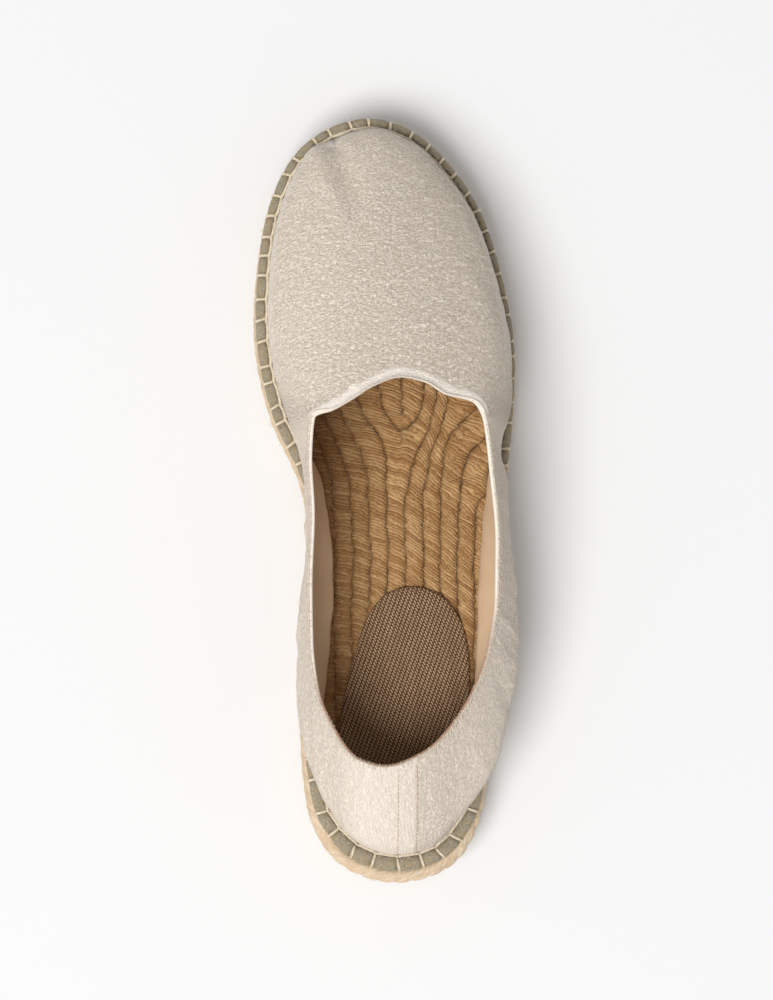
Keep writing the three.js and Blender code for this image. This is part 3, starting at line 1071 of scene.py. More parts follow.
# %% Where the blanket stitches go
SIDE_PITCH = 8.2
HEEL_PITCH = 11.6
HEEL_ENDS = (0.07, 0.13)
UNEVEN = 0.16
FINE_STEPS = 2000
stitch_rng = np.random.default_rng(23)
fine_share = np.linspace(0, 1, FINE_STEPS + 1)
from_heel = np.minimum(fine_share, 1 - fine_share)
pitch = SIDE_PITCH + (HEEL_PITCH - SIDE_PITCH) * (1 - ease(from_heel, *HEEL_ENDS))
stitch_number = np.append(0, np.cumsum(outline.length / FINE_STEPS / pitch[1:]))
STITCHES = int(round(stitch_number[-1]))
stitch_number *= STITCHES / stitch_number[-1]
wanted = np.arange(STITCHES) + stitch_rng.uniform(-UNEVEN, UNEVEN, STITCHES)
stitch_shares = np.interp(wanted % STITCHES, stitch_number, fine_share)


def to_stitch(share):
    """Millimetres to the nearest stitch."""
    apart = (share[:, None] - stitch_shares[None, :] + 0.5) % 1 - 0.5
    return np.abs(apart).min(axis=1) * outline.length


print("band stitches:", STITCHES, "mean pitch in mm:", round(outline.length / STITCHES, 2))

# %% [markdown]
# Each stitch pulls the band down, and it puffs up in between like a quilt. The section is a
# superellipse, rounder than a box and fuller than a circle, and the pull of each stitch is a
# narrow dip at its place. The outer edge droops over the top of the plait and hides where the two
# meet.

# %% The band, pinched at every stitch
STEPS_PER_STITCH = 12
BAND_SIDES = 20
BAND_FULLNESS = 2.7
BAND_HEIGHT = 4.4
BAND_LEAN = 0.5
BAND_SINK = 0.4
BAND_DROOP = 1.1
PINCH = 1.35
PINCH_WIDTH = 1.25


def shaded_side(share):
    """1 along the outer side of the toes, where the upper overhangs the band, and 0 elsewhere."""
    return ease(share, 0.2, 0.3) * (1 - ease(share, 0.47, 0.53))


band_share = np.arange(STITCHES * STEPS_PER_STITCH) / (STITCHES * STEPS_PER_STITCH)
pull = np.exp(-((to_stitch(band_share) / PINCH_WIDTH) ** 2))
band_plan, _, band_at = station(band_share)
half_width = band_width(band_at) / 2
turn = np.linspace(0, 2 * np.pi, BAND_SIDES, endpoint=False)[:, None]
power = 2 / BAND_FULLNESS
inward = -np.sign(np.cos(turn)) * np.abs(np.cos(turn)) ** power
rise = np.sign(np.sin(turn)) * np.abs(np.sin(turn)) ** power
crown = BAND_HEIGHT - PINCH * pull + 0.18 * ripple(band_plan[:, 0], band_plan[:, 1], 26, 31)
crown = crown + BAND_LEAN * inward
band_inset = bare_rope(band_at) + half_width + half_width * (0.98 - 0.16 * pull) * inward
band_z = footbed(band_at) + GAP - BAND_SINK + crown * (rise + 1) / 2
band_z = band_z - BAND_DROOP * np.clip(-inward, 0, 1) * (1 - rise) / 2
band_rings = rim_point(np.broadcast_to(band_share, band_z.shape), band_inset, band_z)
girth = np.linalg.norm(np.diff(band_rings[:, 0], axis=0, append=band_rings[:1, 0]), axis=1)
girth = np.append(0, np.cumsum(girth))
around_mm = np.append(band_share, 1.0) * outline.length
band_uv = np.stack(np.broadcast_arrays(around_mm[None, :], girth[:, None]), axis=-1)
band_values = {
    "pull": np.broadcast_to(pull, band_z.shape),
    # Where the band is painted darker as shade: its inner side, and the outer side of the toes
    # under the upper.
    "inner": ease(inward + 0.45 * shaded_side(band_share), 0.1, 0.95) + 0 * band_z,
}
band_layout = {"cloth_cm": band_uv}
band_mesh = grid_mesh("edge_band_cloth", band_rings, band_layout, looped=True, values=band_values)
print("girth of the band in mm:", round(float(girth[-1]), 1))

# %% [markdown]
# The band is plain cotton canvas, faded unevenly and grey with wear. Its weave is fine, so most of
# what shows is a fleck of lighter and darker yarns, with a bloom of jute dust over it. Shade is
# painted on it in broken patches, along its inner side and where the upper overhangs it, and at the
# pinch of each stitch. The two values stored on the mesh say where.

# %% Cotton canvas for the band


def band_canvas():
    finish = Finish("band_canvas")
    cloth = finish.cloth_mm()
    wander = finish.noise(finish.stretch(cloth, (0.8, 0.8, 0.8)), 1.0, 2.0)
    along_it = finish.part(cloth, "X") + wander * 0.25
    over_it = finish.part(cloth, "Y") + wander * 0.25
    thread = 2 * math.pi / 0.52
    weave = (along_it * thread).sin() * (over_it * thread).sin()
    fleck = finish.noise(finish.stretch(cloth, (1.9, 1.1, 1.0)), 1.0, 3.0, 0.7)
    tone = (fleck * 0.9 + weave * 0.1).between(0.32, 0.66)
    colour = finish.blend(tone, tint("#837A69"), tint("#C3B8A0"))
    fluff = finish.noise(finish.stretch(finish.place_mm(), (0.45, 0.45, 0.45)), 1.0, 3.0, 0.7)
    colour = finish.blend(fluff.between(0.44, 0.66) * 0.7, colour, tint("#AF976F"))
    # Painted shade, in broken patches, along the inner side, under the overhanging upper and at
    # each stitch's pinch.
    overhang_and_pinch_shade = finish.value("inner") * fluff.between(0.38, 0.58) + finish.value("pull") * 0.3
    colour = finish.blend(overhang_and_pinch_shade * 0.75, colour, tint("#4A3B2A"))
    normal = finish.relief(weave * 0.3 + fleck * 0.6, 0.3)
    return finish.surface(colour, 0.92, normal, 0.2, tint("#B9B7A8"))


edge_band = new_piece("edge_band_cloth", band_mesh, band_canvas())
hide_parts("edge_band")

# %% [markdown]
# ## The cloth upper
#
# The upper is a slubbed cloth of cotton and linen, cut in one piece that wraps the foot and is
# closed by a seam at the back of the heel. It is modelled as one closed shell: up the outside,
# over the rim and down again inside. The creases are placed as soft troughs and ridges along
# lines on the foot: the pleat where the cloth is gathered at the toe, and the slack waves on the
# outer side. Cloth simulation could crease it too, but never in the place where this shoe is
# creased.

# %% Creases of the cloth


def line_distance(x, y, route):
    """Distance to a line through points, signed to its right, and the share of the way along."""
    route = np.array(route, float)
    steps = np.linalg.norm(np.diff(route, axis=0), axis=1)
    total = steps.sum()
    best = np.full(np.shape(x), 1e9)
    share = np.zeros(np.shape(x))
    walked = 0.0
    for a, b, step in zip(route[:-1], route[1:], steps):
        ahead = (b - a) / step
        reach = np.clip((x - a[0]) * ahead[0] + (y - a[1]) * ahead[1], 0, step)
        away_x, away_y = x - a[0] - reach * ahead[0], y - a[1] - reach * ahead[1]
        away = np.hypot(away_x, away_y) * np.sign(away_x * ahead[1] - away_y * ahead[0] + 1e-9)
        nearer = np.abs(away) < np.abs(best)
        best = np.where(nearer, away, best)
        share = np.where(nearer, (walked + reach) / total, share)
        walked += step
    return best, share


def fold(x, y, route, width, height):
    """A ridge, or a trough where the height is negative, that fades in and out along a line."""
    away, share = line_distance(x, y, route)
    swell = np.sin(np.pi * np.clip(share, 0.001, 0.999)) ** 0.7
    return height * swell * np.exp(-((away / width) ** 2))


def pleat(x, y):
    """The gather at the toe: deepest at the sole and gone by the instep."""
    away, share = line_distance(x, y, [(-19, 273), (-15, 259), (-12, 250), (-9, 232)])
    fade = 1 - ease(share, 0.1, 1.0)
    trough = -2.3 * np.exp(-(((away + 0.5) / 4.3) ** 2))
    ridge = 1.6 * np.exp(-(((away - 6.6) / 4.4) ** 2))
    return fade * (trough + ridge)


def toe_gathers(x, y):
    """Small puckers that point from the toe's edge into the vamp."""
    angle = np.arctan2(x + 5, np.maximum(y - 190, 1))
    near_edge = ease(y + 0.002 * (x + 5) ** 2, 252, 280)
    return near_edge * (0.22 * np.sin(angle * 34) + 0.15 * np.sin(angle * 21 + 1))


VAMP_WAVES = [
    ([(16, 243), (34, 214), (41, 190)], 5.0, 0.45),
    ([(8, 236), (24, 208), (33, 184)], 6.0, 0.3),
    ([(-36, 226), (-42, 200), (-39, 180)], 6.0, 0.35),
    ([(-22, 240), (-31, 214), (-33, 190)], 7.0, -0.3),
    ([(26, 240), (41, 215), (46, 188)], 4.0, -0.35),
]
print("waves on the vamp:", len(VAMP_WAVES))

# %% [markdown]
# The quarters stand with nothing to hold them. They wave a little and are drawn in at three
# places, with a small swell beside the deepest. These folds run up and down the wall, so they are
# placed by the share of the way round and not by lines in plan.

# %% Slack of the side walls


def side_waves(share, up):
    """Shallow upright waves where the quarters stand slack, strongest half-way up."""
    slack = np.sin(np.pi * np.clip((up + 0.2) / 1.2, 0, 1))
    outer_side = ease(share, 0.03, 0.1) * (1 - ease(share, 0.25, 0.31))
    inner_side = ease(share, 0.72, 0.78) * (1 - ease(share, 0.93, 0.98))
    way = share * outline.length + 9 * up
    waves = 0.55 * ripple(way, up * 12, 42, 51) + 0.22 * ripple(way, up * 20, 15, 52)
    waves = waves + 0.13 * ripple(way, up * 16, 6.5, 55)
    return (outer_side + inner_side) * slack * waves


TUCKS = [
    (0.281, 11.0, -3.3),
    (0.252, 10.0, 0.9),
    (0.06, 17.0, -1.8),
    (0.944, 17.0, -1.6),
]


def tucks(share, up):
    """The walls drawn in, by the outer corner of the throat and on both sides of the heel."""
    slack = np.sin(np.pi * np.clip((up + 0.15) / 1.15, 0, 1)) ** 1.3
    drawn = 0
    for place, width, height in TUCKS:
        away = (share - place + 0.02 * up) * outline.length
        drawn = drawn + height * np.exp(-((away / width) ** 2))
    return slack * drawn


def cloth_relief(point, share, up):
    """How far the cloth stands out from its plain form, in millimetres."""
    x, y = point[..., 0], point[..., 1]
    vamp = ease(share, 0.27, 0.33) * (1 - ease(share, 0.68, 0.74))
    below_hem = 1 - ease(up, 0.86, 0.97)
    shape = pleat(x, y) + toe_gathers(x, y)
    for route, width, height in VAMP_WAVES:
        shape = shape + fold(x, y, route, width, height)
    shape = vamp * below_hem * (shape + 0.22 * ripple(x, y, 30, 53))
    return shape + side_waves(share, up) + tucks(share, up) + 0.1 * ripple(x, y, 8, 54)


def dent(point, share, up):
    """How far a deep crease pushes the layers under the cloth inwards."""
    return np.minimum(cloth_relief(point, share, up) + 0.35, 0)


print("tucks and swells of the walls:", len(TUCKS))

# %% [markdown]
# Along the throat the edge is folded under and sewn down, which makes a smooth raised band. At
# the back of the heel one quarter is folded under and lapped over the other. The lap is a flat
# strip with a groove along its edge and a row of topstitching along each side.

# %% The grid of the cloth, and the seam of the heel
ROUND = 660
ROWS_UP = 74
SKIRT_ROWS = 6
SEAM_SHARE = 0.008
SEAM_TOP_X = 6.8
SEAM_FOOT_X = 7.9
cloth_share = SEAM_SHARE + np.arange(ROUND + 1) / ROUND
skirt_rows = np.linspace(-1, 0, SKIRT_ROWS, endpoint=False)
rows_out = np.concatenate([skirt_rows, np.linspace(0, 1, ROWS_UP - SKIRT_ROWS) ** 0.92])


def seam_x(y):
    """The middle of the lapped back seam, from its top at the collar to its foot."""
    return SEAM_TOP_X + (SEAM_FOOT_X - SEAM_TOP_X) * ease(y, 47, 12)


plain, _ = cloth_point(cloth_share[None, :], rows_out[:, None], np.array(WALL))
steps = np.linalg.norm(np.diff(plain, axis=0), axis=-1)
to_edge = np.vstack([np.cumsum(steps[::-1], axis=0)[::-1], np.zeros((1, ROUND + 1))])
whole_share = np.broadcast_to(cloth_share % 1, to_edge.shape)
print("height of the wall at the heel, in mm of cloth:", round(float(to_edge[0, 0]), 1))

# %% The hem of the throat, the lap of the seam and the creases
HEM_WIDTH = 3.2
HEM_RISE = 0.35
LAP_HALF = 3.9
throat = ease(whole_share, 0.285, 0.3) * (1 - ease(whole_share, 0.7, 0.715))
hem = throat * (1 - ease(to_edge, HEM_WIDTH - 0.2, HEM_WIDTH + 0.3))
hem_groove = throat * np.exp(-(((to_edge - HEM_WIDTH - 0.35) / 0.45) ** 2))
behind = 1 - ease(plain[..., 1], 50, 60)
from_seam = plain[..., 0] - seam_x(plain[..., 1])
lap = behind * (1 - ease(np.abs(from_seam), LAP_HALF - 0.8, LAP_HALF + 0.8))
seam_groove = behind * np.exp(-(((from_seam - LAP_HALF) / 0.5) ** 2))
rib_zone = behind * ease(from_seam, -30, -14) * (1 - ease(from_seam, LAP_HALF - 2, LAP_HALF + 0.8))
relief = cloth_relief(plain, whole_share, rows_out[:, None])
relief += HEM_RISE * hem - 0.06 * hem_groove + 0.04 * lap - 0.08 * seam_groove
edge_calm = ease(to_edge, 0.0, 2.0) * 0.8 + 0.2
foot_calm = ease(rows_out[:, None], -0.6, 0.1)
relief = relief * edge_calm * foot_calm
_, way_out, _ = station(cloth_share)
tuck = ((plain[SKIRT_ROWS, :, :2] - plain[..., :2]) * way_out).sum(axis=-1)
on_vamp = ease(whole_share, 0.3, 0.36) * (1 - ease(whole_share, 0.64, 0.7))
# The steep lower strip of the vamp, which the finish paints lighter as painted light.
vamp_foot_light = on_vamp * (1 - ease(tuck, 0.9, 2.6))
quarter = 1 - ease(whole_share, 0.262, 0.3) + ease(whole_share, 0.7, 0.738)
print("relief of the cloth in mm:", round(float(relief.min()), 2), round(float(relief.max()), 2))

# %% [markdown]
# A sheet without thickness would show a knife edge at the collar. So the grid goes on over a round
# rim and down the inside, where the layers follow only the deep creases, and closes on itself at
# the foot. Solidify could thicken a sheet too, but it would not round the rim or thicken the hem.

# %% The rim and the inside of the cloth
RIM_ROWS = 7
ROWS_DOWN = 24
CLOTH_INNER = 0.75
RIM_ROUND = 0.62
turn = np.linspace(0, np.pi, RIM_ROWS + 2)[1:-1, None]
rim_hem = hem[-1][None, :]
rim_middle = (WALL + CLOTH_INNER) / 2 + (HEM_RISE * rim_hem - 0.1) / 2
rim_half = (WALL - CLOTH_INNER) / 2 + HEM_RISE * rim_hem / 2
rim_lift = rim_middle + rim_half * np.cos(turn)
rows_in = np.linspace(1, -1, ROWS_DOWN)
outside, _ = cloth_point(cloth_share[None, :], rows_out[:, None], WALL + relief)
crest, _ = cloth_point(cloth_share[None, :], np.ones((RIM_ROWS, 1)), rim_lift)
crest[..., 2] += RIM_ROUND * np.sin(turn)
within, _ = cloth_point(cloth_share[None, :], rows_in[:, None], np.array(CLOTH_INNER))
thin = CLOTH_INNER + dent(within, cloth_share[None, :] % 1, rows_in[:, None])
within, _ = cloth_point(cloth_share[None, :], rows_in[:, None], thin)
cloth_rings = np.concatenate([outside, crest, within])
print("rings of the upper:", cloth_rings.shape[0], "with", ROUND, "points")

# %% [markdown]
# The weave has to lie the right way on the cloth: its crosswise yarns run across the vamp, and
# up and down on the quarters. So the flat pattern is laid out twice. In the layout of the vamp
# each line from the throat to the sole is unrolled in its own direction. In that of the quarters
# the cloth is a strip that hangs from the collar. A value says which of them holds, and the
# finish fades from one weave to the other. Fading the coordinates themselves would be shorter,
# but it would smear the weave where the two layouts disagree.

# %% The flat pattern of the upper as two UV maps


def flat_pattern(rings, edge_row):
    """Two layouts of the cloth, in millimetres, for rings of points unrolled from the topline."""
    steps = np.linalg.norm(np.diff(rings, axis=0), axis=-1)
    walked = np.vstack([np.zeros((1, rings.shape[1])), np.cumsum(steps, axis=0)])
    hang = walked[edge_row] - walked
    top = rings[edge_row, :, :2]
    spread = rings[0, :, :2] - top
    spread /= np.linalg.norm(spread, axis=-1, keepdims=True)
    vamp = top + spread * hang[..., None]
    pace = np.linalg.norm(np.diff(rings[edge_row], axis=0), axis=-1)
    arc = np.concatenate([[0], np.cumsum(pace)])
    strip = np.stack(np.broadcast_arrays(hang, arc[None, :]), axis=-1)
    layouts = {"cloth_cm": vamp, "quarter_cm": strip}
    return {key: np.concatenate([flat, flat[:1]]) for key, flat in layouts.items()}


cloth_layouts = flat_pattern(cloth_rings, len(rows_out) - 1)
inside_rows = RIM_ROWS + ROWS_DOWN
quiet = np.zeros((inside_rows, ROUND))
rim_hems = quiet.copy()
rim_hems[:RIM_ROWS] = hem[-1, :-1]
cloth_values = {
    "hem": np.concatenate([hem[:, :-1], rim_hems]),
    "seam": np.concatenate([seam_groove[:, :-1], quiet]),
    "ribbed": np.concatenate([rib_zone[:, :-1], quiet]),
    "foot": np.concatenate([vamp_foot_light[:, :-1], quiet]),
    "quarter": np.concatenate([quarter[:, :-1], np.tile(quarter[-1, :-1], (inside_rows, 1))]),
}
cloth_mesh = grid_mesh(
    "upper_cloth", cloth_rings[:, :-1], cloth_layouts, looped=True, values=cloth_values
)
print("flat pattern in mm:", np.ptp(cloth_layouts["cloth_cm"].reshape(-1, 2), axis=0).round())

# %% [markdown]
# A slub is a thick place in the yarn. In this cloth they are short and lie close together, all
# across the foot, with darker gaps where the finer ground weave shows. Noise that is stretched
# along the yarn and cut off softly gives light slubs with dark between them, and a slow noise
# bends them so that they wander.

# %% Slubbed cloth


def slub_yarns(finish, cloth):
    """How light and how high the yarns are, for one layout of the cloth."""
    drift = finish.noise(finish.stretch(cloth, (0.35, 0.5, 1.0)), 1.0, 2.0, 0.5, "Color")
    wandering = finish.shove(cloth, finish.stretch(drift, (2.2, 2.2, 0.0)))
    long_slub = finish.noise(finish.stretch(wandering, (0.72, 1.35, 0.0)), 1.0, 3.0, 0.6)
    fine_slub = finish.noise(finish.stretch(wandering, (1.6, 2.8, 0.0)), 1.0, 3.0, 0.65)
    slub = long_slub.between(0.36, 0.63) * 0.5 + fine_slub.between(0.35, 0.64) * 0.5
    fibre = finish.noise(finish.stretch(cloth, (2.0, 5.0, 1.0)), 1.0, 3.0, 0.65)
    thread = 2 * math.pi / 0.62
    u, v = finish.part(cloth, "X"), finish.part(cloth, "Y")
    ground = (u * thread).sin() * (v * thread).sin() * 0.5 + 0.5
    light = slub * 0.8 + fibre * 0.3 + ground * 0.06
    return light, slub + fibre * 0.25 + ground * 0.12


def slub_cloth():
    finish = Finish("slub_cloth")
    hem, seam = finish.value("hem"), finish.value("seam")
    ribbed, quarter = finish.value("ribbed"), finish.value("quarter")
    cloth, strip = finish.cloth_mm(), finish.cloth_mm("quarter_cm")
    vamp_light, vamp_height = slub_yarns(finish, cloth)
    strip_light, strip_height = slub_yarns(finish, strip)
    light = vamp_light + (strip_light - vamp_light) * quarter
    height = vamp_height + (strip_height - vamp_height) * quarter
    place = finish.place_mm()
    patch = finish.noise(finish.stretch(place, (0.11, 0.16, 0.11)), 1.0, 2.0)
    colour = finish.blend(light.between(0.16, 0.94), tint("#C9B49B"), tint("#FFF5E7"))
    colour = finish.blend(patch.between(0.4, 0.65) * 0.18, colour, tint("#E0D0BC"))
    ribs = (finish.part(strip, "Y") * (2 * math.pi / 1.25)).sin() * 0.5 + 0.5
    smooth = hem * 0.75 + ribbed * 0.5
    colour = finish.blend(smooth, colour, tint("#F5ECE2"))
    colour = finish.blend(ribbed * ribs * 0.14, colour, tint("#CBB098"))
    # Painted light: the steep lower strip of the vamp is lightened.
    colour = finish.blend(finish.value("foot") * 0.55, colour, tint("#FBF3EA"))
    # Painted shade in the groove along the edge of the lap.
    colour = finish.blend(seam * 0.14, colour, tint("#BFA78B"))
    # Painted light: the quarters, which stand in shade, are painted lighter.
    colour = finish.blend(quarter * 0.3, colour, tint("#F6EADD"))
    height = height * (1.0 - smooth * 0.7) - ribbed * ribs * 0.15
    normal = finish.relief(height, 0.5)
    return finish.surface(colour, 0.94, normal, 0.45, tint("#FFEFDD"))


upper_cloth = new_piece("upper_cloth", cloth_mesh, slub_cloth())
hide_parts("upper")

# %% [markdown]
# ## The lining
#
# Inside is a thin cream cotton twill. Its edge is turned and stands a little above the cloth, so
# that from above it draws a thin bright line round the opening. Round the heel that edge has worn
# to a ginger brown. On the outer side the lining hangs in a soft diagonal fold, because there the
# wall is slack.

# %% The lining and its turned edge
LINING_THICKNESS = 0.7
LINING_ROUND = 440
LINING_ROWS = 44
BACK_ROWS = 24
BEAD_ROWS = 9
BEAD_RADIUS = 0.62
BEAD_MIDDLE = 0.36
BEAD_RISE = 0.2
lining_share = SEAM_SHARE + np.arange(LINING_ROUND + 1) / LINING_ROUND
rows_in = np.linspace(1, -1, LINING_ROWS)[:, None]
rows_back = np.linspace(-1, 1, BACK_ROWS)[:, None]
face, _ = cloth_point(lining_share[None, :], rows_in, np.zeros(()))
crease = fold(face[..., 0], face[..., 1] + 0.9 * face[..., 2], [(30, 178), (38, 150)], 4.5, 1.1)
crease += fold(face[..., 0], face[..., 1] + 0.7 * face[..., 2], [(34, 205), (38, 180)], 5.0, 0.6)
soft = np.sin(np.pi * np.clip((rows_in + 1) / 2, 0, 1)) ** 0.8
loose = 0.35 * ripple(face[..., 1] + 0.8 * face[..., 2], face[..., 2], 24, 61)
sag = soft * (crease + np.abs(loose))
sag = sag - dent(face, lining_share[None, :] % 1, rows_in)
lining_in, _ = cloth_point(lining_share[None, :], rows_in, -sag)
back, _ = cloth_point(lining_share[None, :], rows_back, np.array(LINING_THICKNESS))
back_lift = LINING_THICKNESS + dent(back, lining_share[None, :] % 1, rows_back)
lining_back, _ = cloth_point(lining_share[None, :], rows_back, back_lift)
bead_turn = np.linspace(0, np.pi, BEAD_ROWS)[:, None]
bead_lift = BEAD_MIDDLE + BEAD_RADIUS * np.cos(bead_turn)
bead, _ = cloth_point(lining_share[None, :], np.ones((BEAD_ROWS, 1)), bead_lift)
bead[..., 2] += BEAD_RISE + BEAD_RADIUS * np.sin(bead_turn)
lining_rings = np.concatenate([lining_back, bead, lining_in])
lining_layouts = flat_pattern(lining_rings, BACK_ROWS - 1)
edge_rows = np.zeros((len(lining_rings), LINING_ROUND))
edge_rows[BACK_ROWS - 1 : BACK_ROWS + BEAD_ROWS + 1] = 1
round_heel = np.minimum(lining_share[:-1] % 1, 1.6 * (1 - lining_share[:-1] % 1))
ginger = edge_rows * (1 - ease(round_heel, 0.1, 0.17))
lining_values = {"turned": edge_rows, "ginger": ginger}
lining_mesh = grid_mesh(
    "lining", lining_rings[:, :-1], lining_layouts, looped=True, values=lining_values
)
print("lining rings:", lining_rings.shape[0])

# %% [markdown]
# Twill shows as fine slanting ribs, which is the sum of the two directions of the cloth put
# through a sine. The ribs are too fine to model, so they are colour and a shallow relief. The
# inside of a shoe yellows with wear, so the cream is a warm one, and the turned edge stays bright.

# %% Cotton twill for the lining


def lining_twill():
    finish = Finish("lining_twill")
    cloth = finish.cloth_mm("quarter_cm")
    u, v = finish.part(cloth, "X"), finish.part(cloth, "Y")
    twill = ((u + v) * (2 * math.pi / 0.9)).sin() * 0.5 + 0.5
    fibre = finish.noise(finish.stretch(cloth, (1.5, 6.0, 1.0)), 1.0, 3.0, 0.6)
    patch = finish.noise(finish.stretch(cloth, (0.06, 0.06, 1.0)), 1.0, 2.0)
    tone = (twill * 0.35 + fibre * 0.5 + 0.1).between(0.15, 0.75)
    colour = finish.blend(tone, tint("#BC9975"), tint("#D9BE9D"))
    colour = finish.blend(patch.between(0.42, 0.62) * 0.3, colour, tint("#C4A07E"))
    colour = finish.blend(finish.value("turned") * 0.85, colour, tint("#F4EBE0"))
    wear_and_shade_patches = finish.value("ginger") * fibre.between(0.25, 0.6)
    colour = finish.blend(wear_and_shade_patches, colour, tint("#9A6229"))
    normal = finish.relief(twill * 0.5 + fibre * 0.4, 0.12)
    return finish.surface(colour, 0.9, normal, 0.2, tint("#FFF4E4"))


lining = new_piece("lining", lining_mesh, lining_twill())

# %% [markdown]
# ## The heel sock
#
# A small oval of patterned cloth is glued over the rope under the heel, cut clean and slightly
# rounded at the edge. It is a closed, gently crowned pad whose surface lets the rows beneath show
# through a little. The real one carries a print, and here the cloth is left plain.

# %% The heel sock
SOCK_CROWN = 1.22
SOCK_SINK = 0.15
SOCK_ROUND = 160
sock_outline = Loop(SOCK_OUTLINE)
sock_rim = sock_outline(np.arange(SOCK_ROUND) / SOCK_ROUND)
sock_middle = sock_rim.mean(axis=0)
sock_sections = [(0.03, 0.0), (0.6, 0.0), (0.975, 0.0), (0.995, 0.25), (1.0, 0.6), (0.992, 0.95)]
sock_sections += [(0.975, 1.13), (0.95, 1.2)]
sock_sections += [(share, SOCK_CROWN) for share in np.linspace(0.92, 0.02, 40)]
sock_rings = []
for share, height in sock_sections:
    level = sock_middle + (sock_rim - sock_middle) * share
    rows_show = 0.16 * np.cos(across_rows(level[:, 0], level[:, 1]) * 2 * np.pi / ROW_WIDTH)
    rows_show = rows_show * ease(height, 0.9, 1.2)
    z = footbed(level[:, 1] / SOLE_LENGTH) + GAP + height - SOCK_SINK + rows_show
    sock_rings.append(np.column_stack([level, z]))
sock_mesh = grid_mesh("heel_sock_weave", np.array(sock_rings), capped=True)
print("sock size in mm:", np.ptp(sock_rim, axis=0).round(1))

# %% [markdown]
# The cloth of the sock is dark brown, and light yarns float over it in short dashes. The dashes
# stand in slanting ribs, and each rib starts a little further on than the one before. A sine
# across the ribs and another along them draw the dashes, and the number of the rib sets the shift.

# %% Small-figured weave for the heel sock


def sock_weave():
    finish = Finish("sock_weave")
    place = finish.place_mm()
    x, y = finish.part(place, "X"), finish.part(place, "Y")
    slant = math.radians(62)
    rib = (x * math.sin(slant) + y * math.cos(slant)) * (1 / 0.86)
    float_place = (x * math.cos(slant) - y * math.sin(slant)) * (1 / 2.1) + rib.whole() * 0.37
    across = (rib * math.pi).sin().size()
    dots = (float_place * math.pi).sin().size().between(0.0, 0.8)
    jitter = finish.noise(finish.stretch(place, (0.9, 0.9, 1.0)), 1.0, 2.0)
    mark = (across * dots + jitter * 0.6 - 0.3).between(0.25, 0.85)
    fibre = finish.noise(finish.stretch(place, (4.0, 4.0, 1.0)), 1.0, 3.0, 0.6)
    shade = finish.noise(finish.stretch(place, (0.1, 0.1, 1.0)), 1.0, 2.0)
    dark = finish.blend(fibre.between(0.3, 0.7), tint("#3C281B"), tint("#5E442F"))
    colour = finish.blend(mark, dark, tint("#B59674"))
    colour = finish.blend(shade.between(0.4, 0.65) * 0.2, colour, tint("#6A5038"))
    normal = finish.relief(mark * 0.6 + fibre * 0.3, 0.3)
    return finish.surface(colour, 0.9, normal, 0.1, tint("#CDB596"))


heel_sock = new_piece("heel_sock_weave", sock_mesh, sock_weave())
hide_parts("heel_sock")

# %% [markdown]
# ## Stitches
#
# Three kinds of stitch hold this shoe together, and all three are a thread that goes over
# something: the blanket stitch over the edge band, the overlock over the collar, and the running
# stitch, which comes up out of the cloth for a moment and dives again. So one tree makes them all.
# It bends a straight line into an arch, copies it to every point of a guide, turned and scaled by
# what the guide says, and gives it the thickness of the thread at the very end, so that the scaling
# never flattens the thread.

# %% A tree that lays arched stitches on a guide
arch = Pattern(
    "arched_stitches",
    {
        "Thread Radius": 0.56 * MM,
        "Squareness": 0.75,
        "Start Turn": 2.9,
        "End Turn": -0.3,
        "Points": 14,
        "Sides": 8,
    },
)
line = arch.node("GeometryNodeCurvePrimitiveLine", None, {"End": (1.0, 0.0, 0.0)})
line = arch.node("GeometryNodeResampleCurve", None, {"Curve": line, "Count": arch.input("Points")})
share = arch.node("GeometryNodeSplineParameter", output="Factor")
angle = arch.input("Start Turn") + (arch.input("End Turn") - arch.input("Start Turn")) * share
flat = angle.cos().sign() * angle.cos().size() ** arch.input("Squareness")
high = angle.sin().sign() * angle.sin().size() ** arch.input("Squareness")
bent = {"Geometry": line, "Position": arch.vector(flat, 0.0, high)}
bow = arch.node("GeometryNodeSetPosition", None, bent)
axes = {"primary_axis": "X", "secondary_axis": "Z"}
frame_of = {"Primary Axis": arch.field("ahead", "FLOAT_VECTOR")}
frame_of["Secondary Axis"] = arch.field("up", "FLOAT_VECTOR")
facing = arch.node("FunctionNodeAxesToRotation", axes, frame_of)
placed = {"Points": arch.input("Geometry"), "Instance": bow, "Rotation": facing}
placed["Scale"] = arch.vector(arch.field("wide"), 1.0, arch.field("tall"))
stitches = arch.node("GeometryNodeInstanceOnPoints", None, placed)
threads = arch.node("GeometryNodeRealizeInstances", None, {"Geometry": stitches})
length = arch.node("GeometryNodeSplineParameter", output="Length")
threads = arch.keep(threads, "along_mm", length * (1 / MM))
radius = arch.input("Thread Radius")
profile = arch.ellipse(radius, radius, arch.input("Sides"))
solid = {"Curve": threads, "Profile Curve": profile, "Fill Caps": True}
arch.finish_tree(arch.node("GeometryNodeCurveToMesh", None, solid))
print("stitch tree inputs:", list(arch.sizes))

# %% [markdown]
# The twine is ecru linen of three plies, waxed. The overlock thread is finer and cream, and the
# topstitching a faded rose. Turned coordinates follow the twist of each, and a cubic of the turned
# coordinate has exactly three humps round the thread, one for each ply.

# %% Thread finishes


